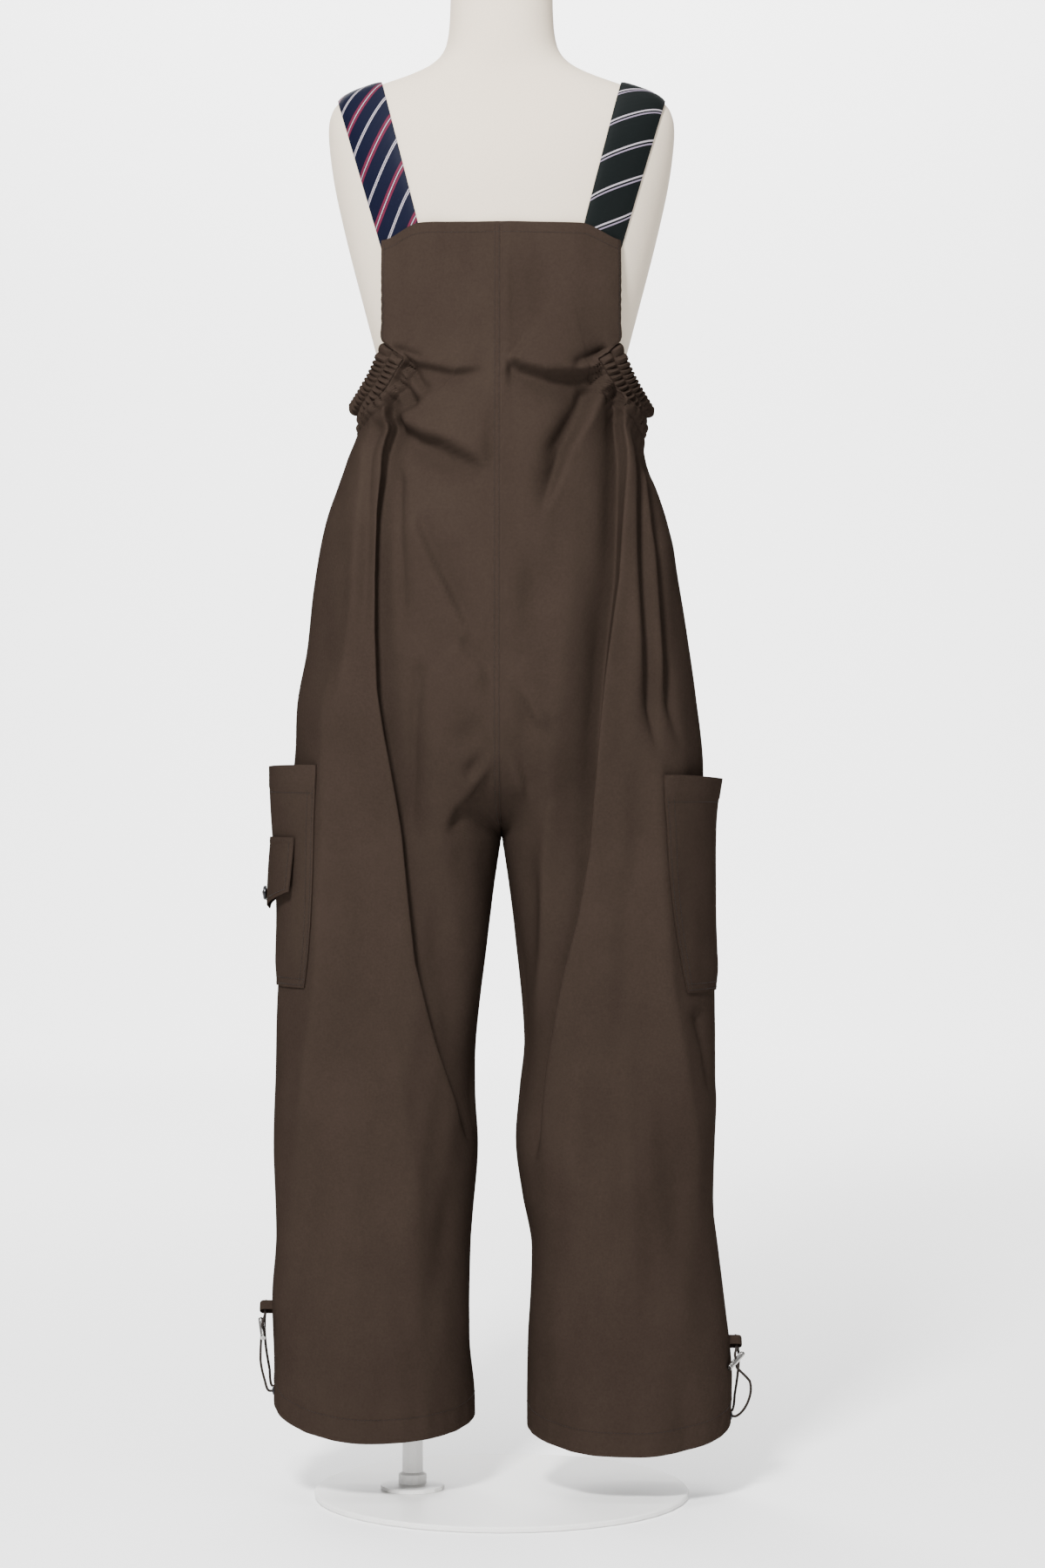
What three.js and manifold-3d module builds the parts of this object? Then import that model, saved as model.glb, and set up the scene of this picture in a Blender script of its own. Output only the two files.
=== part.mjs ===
// Wide-leg dungarees worn by a limbless dress form that stands on a round base plate.
// Millimetres, +Z up. -Y is the side with the garment's back, +Y its front, +X the wearer's right.
// The origin is the centre of the base plate's underside.
import * as THREE from "three";
import { mergeVertices } from "three/addons/utils/BufferGeometryUtils.js";
import Module from "manifold-3d";

const wasm = await Module();
wasm.setup();

// Driving dimensions
const CLOTH = 1.6;
const SEAM_GAP = 0.3;
const CROTCH_Z = 702;
const SEAT_Z = 830;
const SIDE_TURN_Z = 585;
const SIDE_TOP_Z = 1137;
const BAND_END_Z = 1203;
const BIB_EDGE_Z = 1221;
const BIB_TOP_Z = 1343;
const FRONT_TOP_Z = 1331;
const BIB_HALF = 125;
const STRAP_WIDTH = 44;
const TIE_THICK = 2;
const BACK = -1;
const FRONT = 1;
const LEFT = -1;
const RIGHT = 1;

const COLOURS = {
  cloth: { color: 0x4a3c31, roughness: 0.75, metalness: 0 },
  navyTie: { color: 0x1b2444, roughness: 0.5, metalness: 0 },
  greenTie: { color: 0x1d2725, roughness: 0.5, metalness: 0 },
  form: { color: 0xddd6c9, roughness: 0.85, metalness: 0 },
  steel: { color: 0xb9b9b7, roughness: 0.25, metalness: 1 },
  darkMetal: { color: 0x2b2b2d, roughness: 0.3, metalness: 1 },
  stand: { color: 0xe9e8e4, roughness: 0.45, metalness: 0 },
};

// Smooth value of one column of a table, whose rows go up in z.
function along(rows, key) {
  const at = rows.map((row) => row.z);
  const value = rows.map((row) => row[key]);
  const last = at.length - 1;
  const slope = value.map((_, i) => {
    const low = Math.max(i - 1, 0);
    const high = Math.min(i + 1, last);
    return (value[high] - value[low]) / (at[high] - at[low]);
  });
  return (z) => {
    if (z <= at[0]) return value[0];
    if (z >= at[last]) return value[last];
    const i = at.findIndex((level) => level > z) - 1;
    const step = at[i + 1] - at[i];
    const u = (z - at[i]) / step;
    const bend = u * u * (3 - 2 * u);
    const start = u * (1 - u) * (1 - u) * step;
    const end = u * u * (u - 1) * step;
    return value[i] * (1 - bend) + value[i + 1] * bend + slope[i] * start + slope[i + 1] * end;
  };
}

const clamp01 = (u) => Math.min(Math.max(u, 0), 1);
const ease = (u) => clamp01(u) ** 2 * (3 - 2 * clamp01(u));
const mix = (a, b, u) => a + (b - a) * u;
const steps = (n) => Array.from({ length: n + 1 }, (_, i) => i / n);
const power = (value, exponent) => Math.sign(value) * Math.abs(value) ** exponent;
const radians = (degrees) => (degrees * Math.PI) / 180;

// The form: half width, and depth behind and before its middle, at each height
const FORM_BOTTOM_Z = 772;
const FORM_TOP_Z = 1628;
const FORM_ROUND = 2.2;
const formSections = [
  { z: FORM_BOTTOM_Z, half: 148, back: 92, front: 84 },
  { z: 800, half: 158, back: 103, front: 90 },
  { z: 860, half: 165, back: 109, front: 94 },
  { z: 930, half: 161, back: 105, front: 93 },
  { z: 1010, half: 143, back: 92, front: 87 },
  { z: 1080, half: 126, back: 81, front: 82 },
  { z: 1140, half: 119, back: 77, front: 81 },
  { z: 1190, half: 127, back: 80, front: 87 },
  { z: 1228, half: 137, back: 85, front: 95 },
  { z: 1270, half: 148, back: 90, front: 103 },
  { z: 1316, half: 160, back: 95, front: 106 },
  { z: 1353, half: 169, back: 98, front: 103 },
  { z: 1395, half: 178, back: 98, front: 94 },
  { z: 1430, half: 183, back: 92, front: 84 },
  { z: 1455, half: 184.5, back: 83, front: 75 },
  { z: 1470, half: 182, back: 74, front: 68 },
  { z: 1482, half: 175, back: 66, front: 62 },
  { z: 1492, half: 159, back: 60, front: 57 },
  { z: 1502, half: 130, back: 56, front: 53 },
  { z: 1512, half: 101, back: 53, front: 50 },
  { z: 1522, half: 79, back: 52, front: 49 },
  { z: 1534, half: 65, back: 52, front: 49 },
  { z: 1550, half: 58, back: 52, front: 49 },
  { z: 1580, half: 55, back: 52, front: 50 },
  { z: FORM_TOP_Z, half: 54.5, back: 52, front: 50 },
];
const formHalf = along(formSections, "half");
const formDepth = { [BACK]: along(formSections, "back"), [FRONT]: along(formSections, "front") };

// Outline of the cloth, as its distance from the middle: outer and inner edge of each leg, and
// depth of the body and of the legs
const outerEdge = [
  { z: 60, left: 243, right: 244 },
  { z: 110, left: 243, right: 246 },
  { z: 200, left: 245, right: 238 },
  { z: 265, left: 241, right: 231 },
  { z: 321, left: 239, right: 224 },
  { z: 377, left: 239, right: 222 },
  { z: 433, left: 238, right: 226 },
  { z: 516, left: 236, right: 226 },
  { z: 628, left: 230, right: 222 },
  { z: 739, left: 222, right: 215 },
  { z: 795, left: 215, right: 212 },
  { z: 851, left: 213, right: 206 },
  { z: 907, left: 206, right: 198 },
  { z: 963, left: 200, right: 190 },
  { z: 1018, left: 190, right: 179 },
  { z: 1074, left: 171, right: 163 },
  { z: 1102, left: 159, right: 154 },
  { z: SIDE_TOP_Z, left: 147, right: 148 },
  { z: 1180, left: 150, right: 150 },
  { z: BIB_EDGE_Z, left: 157, right: 157 },
  { z: BIB_TOP_Z, left: 164, right: 164 },
];
const innerEdge = [
  { z: 60, left: 28, right: 27 },
  { z: 100, left: 29, right: 27 },
  { z: 154, left: 34, right: 28 },
  { z: 265, left: 33, right: 32 },
  { z: 321, left: 29, right: 22 },
  { z: 377, left: 26, right: 15 },
  { z: 433, left: 28, right: 19 },
  { z: 488, left: 27, right: 24 },
  { z: 600, left: 14, right: 14 },
  { z: 656, left: 7, right: 7 },
  { z: CROTCH_Z, left: 0, right: 0 },
];
const depths = [
  { z: 60, legBack: 92, legFront: 88, back: 120, front: 112, flat: 1.02 },
  { z: 300, legBack: 94, legFront: 90, back: 120, front: 112, flat: 0.95 },
  { z: 500, legBack: 98, legFront: 94, back: 120, front: 112, flat: 0.88 },
  { z: CROTCH_Z, legBack: 108, legFront: 103, back: 120, front: 112, flat: 0.85 },
  { z: 770, legBack: 114, legFront: 106, back: 128, front: 117, flat: 0.85 },
  { z: SEAT_Z, legBack: 116, legFront: 108, back: 133, front: 120, flat: 0.85 },
  { z: 900, legBack: 116, legFront: 108, back: 135, front: 121, flat: 0.85 },
  { z: 1000, legBack: 116, legFront: 108, back: 130, front: 120, flat: 0.85 },
  { z: 1100, legBack: 116, legFront: 108, back: 122, front: 118, flat: 0.85 },
  { z: BAND_END_Z, legBack: 116, legFront: 108, back: 113, front: 115, flat: 0.85 },
  { z: 1280, legBack: 116, legFront: 108, back: 106, front: 112, flat: 0.85 },
  { z: BIB_TOP_Z, legBack: 116, legFront: 108, back: 101.5, front: 109.5, flat: 0.85 },
];
// How far round the body a panel reaches, in degrees from its middle
const armhole = [
  { z: SIDE_TOP_Z, turn: 90 },
  { z: 1149, turn: 73 },
  { z: 1161, turn: 59 },
  { z: 1175, turn: 49.5 },
  { z: 1190, turn: 42.5 },
  { z: BAND_END_Z, turn: 38 },
  { z: BIB_EDGE_Z, turn: 49.8 },
  { z: 1240, turn: 49.4 },
  { z: 1300, turn: 48 },
  { z: BIB_TOP_Z, turn: 47 },
];
// Heights of the armhole's edge points, from the band's ends down to the side seam
const ARMHOLE_LEVELS = [BAND_END_Z, 1190, 1175, 1161, 1149, SIDE_TOP_Z];
// Heights between which each cargo pocket lies, and the share t of its edges on the panels
const pocketSpan = { [LEFT]: { top: 777, bottom: 545 }, [RIGHT]: { top: 768, bottom: 540 } };
const FOLD_COLUMNS = 8;
const SIDE_COLUMNS = 5;
const pocketEdges = [
  { z: 540, left: 0.73, right: 0.72 },
  { z: CROTCH_Z, left: 0.69, right: 0.63 },
  { z: 770, left: 0.645, right: 0.565 },
  { z: SEAT_Z, left: 0.62, right: 0.56 },
  { z: 1100, left: 0.6, right: 0.58 },
  { z: BIB_TOP_Z, left: 0.6, right: 0.6 },
];
const pocketEdge = { [LEFT]: along(pocketEdges, "left"), [RIGHT]: along(pocketEdges, "right") };
const hemLift = {
  [LEFT]: { low: 70, inner: 16, outer: 36 },
  [RIGHT]: { low: 56, inner: 20, outer: 27 },
};
const sideName = { [LEFT]: "left", [RIGHT]: "right" };
const edgeOf = {
  [LEFT]: { outer: along(outerEdge, "left"), inner: along(innerEdge, "left") },
  [RIGHT]: { outer: along(outerEdge, "right"), inner: along(innerEdge, "right") },
};
const depthOf = {
  [BACK]: { body: along(depths, "back"), leg: along(depths, "legBack") },
  [FRONT]: { body: along(depths, "front"), leg: along(depths, "legFront") },
};
const flatness = along(depths, "flat");
const armholeTurn = along(armhole, "turn");

// Folds of the hanging cloth, each along a path of [distance from the middle, height].
// A step stands proud on its outer side and sinks on its inner side, a negative one the other way.
const folds = [
  { side: LEFT, face: BACK, kind: "step", deep: 13, wide: 14,
    path: [[118, 1142], [126, 1037], [129, 920], [121, 808], [106, 708], [93, 574], [70, 483], [34, 378]] },
  { side: LEFT, face: BACK, kind: "step", deep: -8, wide: 13,
    path: [[136, 1118], [147, 1055], [154, 946], [160, 850]] },
  { side: LEFT, face: BACK, kind: "trough", deep: 9, wide: 18,
    path: [[114, 1146], [101, 1127], [63, 1117], [25, 1093], [8, 1077]] },
  { side: LEFT, face: BACK, kind: "trough", deep: 6, wide: 11,
    path: [[112, 1182], [101, 1165], [95, 1148]] },
  { side: LEFT, face: BACK, kind: "trough", deep: 4, wide: 12,
    path: [[104, 1200], [86, 1191], [50, 1183], [17, 1187]] },
  { side: LEFT, face: BACK, kind: "trough", deep: 4, wide: 14,
    path: [[89, 1028], [69, 987], [48, 946], [32, 906]] },
  { side: LEFT, face: BACK, kind: "trough", deep: 5, wide: 13,
    path: [[6, 790], [32, 752], [49, 732], [64, 704]] },
  { side: LEFT, face: BACK, kind: "ridge", deep: 6, wide: 16,
    path: [[184, 800], [191, 660], [197, 575], [209, 470], [221, 350], [232, 240]] },
  { side: RIGHT, face: BACK, kind: "step", deep: 12, wide: 13,
    path: [[119, 1168], [125, 1090], [122, 995], [113, 902], [103, 803], [95, 684], [70, 570], [35, 362]] },
  { side: RIGHT, face: BACK, kind: "trough", deep: 8, wide: 15,
    path: [[98, 900], [84, 790], [70, 680], [46, 570], [30, 470]] },
  { side: RIGHT, face: BACK, kind: "step", deep: -7, wide: 12,
    path: [[143, 1114], [147, 976], [154, 902], [163, 790]] },
  { side: RIGHT, face: BACK, kind: "trough", deep: 6, wide: 10,
    path: [[150, 1108], [165, 995], [178, 846], [185, 780]] },
  { side: RIGHT, face: BACK, kind: "trough", deep: 7, wide: 11,
    path: [[108, 1186], [102, 1165], [87, 1135], [68, 1104], [56, 1066], [42, 1037]] },
  { side: RIGHT, face: BACK, kind: "trough", deep: 5, wide: 12,
    path: [[104, 1202], [84, 1188], [49, 1184], [20, 1191]] },
  { side: RIGHT, face: BACK, kind: "trough", deep: 4, wide: 13,
    path: [[2, 860], [23, 841], [40, 815]] },
  { side: RIGHT, face: BACK, kind: "ridge", deep: 6, wide: 16,
    path: [[166, 790], [171, 660], [185, 541], [202, 450], [211, 374], [219, 260]] },
  { side: LEFT, face: FRONT, kind: "step", deep: 11, wide: 14,
    path: [[120, 1142], [121, 1040], [119, 900], [108, 770], [92, 620], [70, 490], [44, 400]] },
  { side: LEFT, face: FRONT, kind: "step", deep: -7, wide: 13,
    path: [[138, 1116], [150, 1030], [160, 930], [168, 840]] },
  { side: LEFT, face: FRONT, kind: "trough", deep: 7, wide: 16,
    path: [[112, 1150], [88, 1122], [50, 1100], [20, 1092]] },
  { side: LEFT, face: FRONT, kind: "trough", deep: 5, wide: 13,
    path: [[6, 800], [28, 768], [56, 738]] },
  { side: LEFT, face: FRONT, kind: "ridge", deep: 5, wide: 17,
    path: [[172, 800], [178, 660], [190, 540], [204, 420], [216, 280]] },
  { side: RIGHT, face: FRONT, kind: "step", deep: 11, wide: 14,
    path: [[118, 1150], [122, 1050], [116, 910], [104, 770], [88, 640], [64, 500], [40, 390]] },
  { side: RIGHT, face: FRONT, kind: "step", deep: -7, wide: 12,
    path: [[142, 1114], [152, 1010], [162, 900], [170, 800]] },
  { side: RIGHT, face: FRONT, kind: "trough", deep: 7, wide: 15,
    path: [[108, 1156], [84, 1120], [56, 1080], [44, 1048]] },
  { side: RIGHT, face: FRONT, kind: "trough", deep: 5, wide: 13,
    path: [[4, 806], [26, 780], [50, 744]] },
  { side: RIGHT, face: FRONT, kind: "ridge", deep: 5, wide: 17,
    path: [[170, 800], [176, 660], [188, 540], [200, 430], [212, 280]] },
];

// Signed distance of (x, z) from a path, outer side positive, and how far along the path it lies.
function fromPath(path, x, z) {
  let best = { gap: Infinity };
  const lengths = path.slice(1).map((p, i) => Math.hypot(p[0] - path[i][0], p[1] - path[i][1]));
  const whole = lengths.reduce((sum, length) => sum + length, 0);
  let before = 0;
  lengths.forEach((length, i) => {
    const along = [(path[i + 1][0] - path[i][0]) / length, (path[i + 1][1] - path[i][1]) / length];
    const from = [x - path[i][0], z - path[i][1]];
    const reach = Math.min(Math.max(from[0] * along[0] + from[1] * along[1], 0), length);
    const gap = Math.hypot(from[0] - along[0] * reach, from[1] - along[1] * reach);
    if (gap < best.gap) {
      const outer = from[1] * along[0] - from[0] * along[1];
      best = { gap, signed: Math.sign(outer) * gap, share: (before + reach) / whole };
    }
    before += length;
  });
  return best;
}

function foldDepth(side, face, x, z) {
  let sum = 0;
  for (const fold of folds) {
    if (fold.side !== side || fold.face !== face) continue;
    const { signed, share } = fromPath(fold.path, x, z);
    const s = signed / fold.wide;
    const fade = ease(share / 0.12) * ease((1 - share) / 0.3);
    const bell = Math.exp(-0.5 * s * s);
    const shape = { step: s * bell * Math.exp(0.5), trough: -bell, ridge: bell }[fold.kind];
    sum += fold.deep * shape * fade;
  }
  return sum;
}

// How far a panel's point has turned from its leg's half ring (0) to the body's quarter ring (1):
// in a deep curve at the middle seams, and slowly toward the side.
function seatShare(t, z) {
  const fall = clamp01((SEAT_Z - z) / (SEAT_Z - CROTCH_Z));
  const slow = ease((z - SIDE_TURN_Z) / (SEAT_Z + 20 - SIDE_TURN_Z));
  return mix(1 - fall ** 3, slow, ease(t / 0.45));
}

const topOf = (face) => (face === BACK ? BIB_TOP_Z : FRONT_TOP_Z);

// Height of a panel's point: the hem rises to both seams and the bib's top falls to its corners.
function liftedZ(side, face, t, z, x) {
  const hem = hemLift[side];
  const rise = (t < 0.5 ? hem.inner : hem.outer) * (1 - Math.sin(Math.PI * clamp01(t)));
  const nearHem = 1 - ease((z - hem.low) / 230);
  const corner = 16 * ease((x - 82) / 46);
  const nearTop = ease((z - topOf(face) + 60) / 60);
  return z + rise * nearHem - corner * nearTop;
}

// Point of the plain surface, t from the middle seam or inseam (0) to the side (1).
function plainPoint(side, face, t, z) {
  const outer = edgeOf[side].outer(z);
  const inner = z < CROTCH_Z ? edgeOf[side].inner(z) : 0;
  const share = seatShare(t, z);
  const phi = Math.PI * t;
  const psi = radians(z < SIDE_TOP_Z ? 90 : armholeTurn(z)) * t;
  const flat = flatness(z);
  const leg = {
    x: mix(inner, outer, (1 - Math.cos(phi)) / 2),
    y: depthOf[face].leg(z) * power(Math.sin(phi), flat),
  };
  const body = {
    x: outer * power(Math.sin(psi), flat),
    y: depthOf[face].body(z) * power(Math.cos(psi), flat),
  };
  const x = mix(leg.x, body.x, share);
  const y = mix(leg.y, body.y, share);
  return new THREE.Vector3(side * x, face * y, liftedZ(side, face, t, z, x));
}

const PROBE_T = 0.004;
const PROBE_Z = 0.6;

// Outward normal of a surface point(t, z) of a panel.
function normalOf(point, side, face, t, z) {
  const across = point(t + PROBE_T, z).sub(point(t - PROBE_T, z));
  const up = point(t, z + PROBE_Z).sub(point(t, z - PROBE_Z));
  return across.cross(up).multiplyScalar(side * -face).normalize();
}

// Point of the outer surface, with the folds.
function clothPoint(side, face, t, z) {
  const plain = (u, w) => plainPoint(side, face, u, w);
  const point = plain(t, z);
  const edgeFade = ease(t / 0.07) * ease((1 - t) / 0.07);
  const depth = edgeFade > 0 ? foldDepth(side, face, Math.abs(point.x), z) * edgeFade : 0;
  if (depth === 0) return point;
  return point.addScaledVector(normalOf(plain, side, face, t, z), depth);
}

const clothNormal = (side, face, t, z) =>
  normalOf((u, w) => clothPoint(side, face, u, w), side, face, t, z);

// Keeps a point on its own side of the middle and of the side seams.
function keepGap(point, side, face) {
  point.x = side * Math.max(side * point.x, SEAM_GAP / 2);
  point.y = face * Math.max(face * point.y, SEAM_GAP / 2);
  return point;
}

// Shares t of a row: closer together where folds cross it, and even from the pocket's edge to the side.
function rowShares(side, face, z) {
  const fine = 80;
  const edge = pocketEdge[side](z);
  const weight = steps(fine).map((share) => {
    const x = Math.abs(plainPoint(side, face, share * edge, z).x);
    const near = folds
      .filter((fold) => fold.side === side && fold.face === face)
      .map((fold) => fromPath(fold.path, x, z).gap / (1.6 * fold.wide))
      .reduce((sum, gap) => sum + Math.exp(-gap * gap), 0);
    return 1 + 1.1 * Math.min(near, 1.5);
  });
  const reach = [0];
  for (let i = 1; i <= fine; i += 1) reach.push(reach[i - 1] + (weight[i] + weight[i - 1]) / 2);
  const inFolds = steps(FOLD_COLUMNS).map((share) => {
    const goal = share * reach[fine];
    const i = Math.min(Math.max(reach.findIndex((r) => r >= goal), 1), fine);
    return (edge * (i - 1 + (goal - reach[i - 1]) / (reach[i] - reach[i - 1]))) / fine;
  });
  return [...inFolds, ...steps(SIDE_COLUMNS).slice(1).map((share) => mix(edge, 1, share))];
}

// Closed wall between two grids of points with the same rows and columns. Each cell is split along
// the shorter diagonal of its outer points.
function wall(outer, inner, flip) {
  const rows = outer.length;
  const columns = outer[0].length;
  const positions = [...outer.flat(), ...inner.flat()].flatMap((p) => [p.x, p.y, p.z]);
  const out = (i, j) => i * columns + j;
  const into = (i, j) => rows * columns + i * columns + j;
  const faces = [];
  const triangle = (a, b, c) => faces.push(...(flip ? [a, c, b] : [a, b, c]));
  const quad = (a, b, c, d, split = true) => {
    triangle(a, b, split ? c : d);
    triangle(split ? a : b, c, d);
  };
  for (let i = 0; i + 1 < rows; i += 1) {
    for (let j = 0; j + 1 < columns; j += 1) {
      const rising = outer[i][j].distanceTo(outer[i + 1][j + 1]);
      const falling = outer[i][j + 1].distanceTo(outer[i + 1][j]);
      const split = rising <= falling;
      quad(out(i, j), out(i, j + 1), out(i + 1, j + 1), out(i + 1, j), split);
      quad(into(i, j), into(i + 1, j), into(i + 1, j + 1), into(i, j + 1), split);
    }
    quad(out(i, 0), out(i + 1, 0), into(i + 1, 0), into(i, 0));
    quad(out(i + 1, columns - 1), out(i, columns - 1), into(i, columns - 1), into(i + 1, columns - 1));
  }
  for (let j = 0; j + 1 < columns; j += 1) {
    quad(out(0, j + 1), out(0, j), into(0, j), into(0, j + 1));
    quad(out(rows - 1, j), out(rows - 1, j + 1), into(rows - 1, j + 1), into(rows - 1, j));
  }
  const geometry = new THREE.BufferGeometry();
  geometry.setAttribute("position", new THREE.Float32BufferAttribute(positions, 3));
  geometry.setIndex(faces);
  return geometry;
}

// Heights of a panel's rows, from the hem to the bib's top.
function panelLevels(side, face) {
  const stretch = (from, to, count) => steps(count).slice(1).map((u) => mix(from, to, u));
  const { top, bottom } = pocketSpan[side];
  return [
    hemLift[side].low,
    ...stretch(hemLift[side].low, bottom, 7),
    ...stretch(bottom, CROTCH_Z, 3),
    706, 718, 738,
    top,
    803,
    SEAT_Z,
    ...stretch(SEAT_Z, 1095, 5),
    1116,
    ...[...ARMHOLE_LEVELS].reverse(),
    BIB_EDGE_Z,
    ...stretch(BIB_EDGE_Z, topOf(face), 4),
  ];
}

// A panel's points with their outward normals, row by row from the hem up.
function panelGrid(side, face) {
  return panelLevels(side, face).map((z) =>
    rowShares(side, face, z).map((t) => ({
      z,
      point: keepGap(clothPoint(side, face, t, z), side, face),
      normal: clothNormal(side, face, t, z),
    })),
  );
}

const moved = ({ point, normal }, off) => point.clone().addScaledVector(normal, off);

const panelGrids = {};
for (const side of [LEFT, RIGHT]) {
  panelGrids[side] = { [BACK]: panelGrid(side, BACK), [FRONT]: panelGrid(side, FRONT) };
}

function panel(side, face) {
  const grid = panelGrids[side][face];
  const outer = grid.map((row) => row.map((spot) => spot.point));
  const inner = grid.map((row) => row.map((spot) => keepGap(moved(spot, -CLOTH), side, face)));
  return wall(outer, inner, side * face > 0);
}

// Solid between closed loops of points, with a flat cap on the first and the last.
function swept(rings) {
  const size = rings[0].length;
  const centre = (ring) => ring.reduce((sum, p) => sum.add(p), new THREE.Vector3()).divideScalar(size);
  const areaNormal = (ring) =>
    ring.reduce((sum, p, i) => sum.add(p.clone().cross(ring[(i + 1) % size])), new THREE.Vector3());
  const ahead = centre(rings[1]).sub(centre(rings[0]));
  const loops = areaNormal(rings[0]).dot(ahead) > 0 ? rings : rings.map((ring) => [...ring].reverse());
  const faces = [];
  loops.slice(1).forEach((_, i) => {
    for (let j = 0; j < size; j += 1) {
      const next = (j + 1) % size;
      const [a, b] = [i * size + j, i * size + next];
      const [c, d] = [(i + 1) * size + next, (i + 1) * size + j];
      faces.push(a, b, c, a, c, d);
    }
  });
  const cap = (loop, base, flip) => {
    const normal = areaNormal(loop).normalize();
    const right = loop[1].clone().sub(loop[0]).projectOnPlane(normal).normalize();
    const up = normal.clone().cross(right);
    const flat = loop.map((p) => new THREE.Vector2(p.dot(right), p.dot(up)));
    for (const [a, b, c] of THREE.ShapeUtils.triangulateShape(flat, [])) {
      faces.push(base + a, base + (flip ? c : b), base + (flip ? b : c));
    }
  };
  cap(loops[0], 0, true);
  cap(loops[loops.length - 1], (loops.length - 1) * size, false);
  const geometry = new THREE.BufferGeometry();
  const positions = loops.flat().flatMap((p) => [p.x, p.y, p.z]);
  geometry.setAttribute("position", new THREE.Float32BufferAttribute(positions, 3));
  geometry.setIndex(faces);
  return geometry;
}

// The elasticated band round each armhole: two gathered rows on a plain inside
const BAND_GATHERS = 22;
const BAND_SAMPLES = 3;
const BAND_PUFF = 4.2;
const BAND_WALL = 1.8;
const BAND_RAISE = [0, 1, 0.25, 1, 0.35];
const BAND_DROP = { [LEFT]: 0, [RIGHT]: 4 };
const bandTop = [
  { z: 0, x: 125.5, y: 73, height: 1222 },
  { z: 0.2, x: 133, y: 62, height: 1202 },
  { z: 0.6, x: 146, y: 38, height: 1181 },
  { z: 1, x: 161, y: 0, height: 1163 },
];
const bandTopX = along(bandTop, "x");
const bandTopY = along(bandTop, "y");
const bandTopHeight = along(bandTop, "height");

// Lower edge of the band, along the panels' edge; s from the back end (0) to the front end (1).
function bandLow(side, s) {
  const face = s < 0.5 ? BACK : FRONT;
  const share = 1 - Math.abs(2 * s - 1);
  const place = share * (ARMHOLE_LEVELS.length - 1);
  const i = Math.min(Math.floor(place), ARMHOLE_LEVELS.length - 2);
  const corner = (level) => keepGap(clothPoint(side, face, 1, ARMHOLE_LEVELS[level]), side, face);
  return corner(i).lerp(corner(i + 1), place - i);
}

function bandHigh(side, s) {
  const face = s < 0.5 ? BACK : FRONT;
  const share = 1 - Math.abs(2 * s - 1);
  const deeper = face === FRONT ? 3 : 0;
  const y = bandTopY(share) + deeper * (1 - share);
  return new THREE.Vector3(
    side * bandTopX(share),
    face * y,
    bandTopHeight(share) - BAND_DROP[side] * share,
  );
}

function band(side) {
  const count = BAND_GATHERS * BAND_SAMPLES;
  const rows = BAND_RAISE.length - 1;
  return swept(
    steps(count).map((share, i) => {
      const s = mix(0.004, 0.996, share);
      const low = bandLow(side, s);
      const high = bandHigh(side, s);
      const rise = high.clone().sub(low);
      const run = bandLow(side, s + 0.003).sub(bandLow(side, s - 0.003));
      const out = run.cross(rise).multiplyScalar(side).normalize();
      low.addScaledVector(rise, 0.6 / rise.length());
      const full = 0.35 + 0.65 * (0.5 + 0.5 * Math.cos((2 * Math.PI * i) / BAND_SAMPLES));
      const outer = BAND_RAISE.map((raise, j) =>
        low.clone().lerp(high, j / rows).addScaledVector(out, raise * BAND_PUFF * full),
      );
      const inner = [high, low].map((point) => point.clone().addScaledVector(out, -BAND_WALL));
      return [...outer, ...inner];
    }),
  );
}

// The form's surface behind or before the middle, at a distance x from it.
function formY(face, x, z) {
  const round = 1 - (x / formHalf(z)) ** FORM_ROUND;
  return round > 0 ? formDepth[face](z) * round ** (1 / FORM_ROUND) : 0;
}

// Height at which the shoulder's slope is at a distance x from the middle.
function shoulderZ(x) {
  let low = 1455;
  let high = 1560;
  for (let i = 0; i < 40; i += 1) {
    const middle = (low + high) / 2;
    if (formHalf(middle) > x) low = middle;
    else high = middle;
  }
  return low;
}

function formNormal(side, face, x, z) {
  const probe = 0.5;
  const level = (u, v, w) => {
    const half = formHalf(w);
    const depth = formDepth[face](w);
    return (Math.abs(u) / half) ** FORM_ROUND + (Math.abs(v) / depth) ** FORM_ROUND;
  };
  const y = formY(face, x, z);
  return new THREE.Vector3(
    side * (level(x + probe, y, z) - level(x - probe, y, z)),
    face * (level(x, y + probe, z) - level(x, Math.max(y - probe, 0), z)) * (y > probe ? 1 : 0),
    level(x, y, z + probe) - level(x, y, z - probe),
  ).normalize();
}

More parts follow.
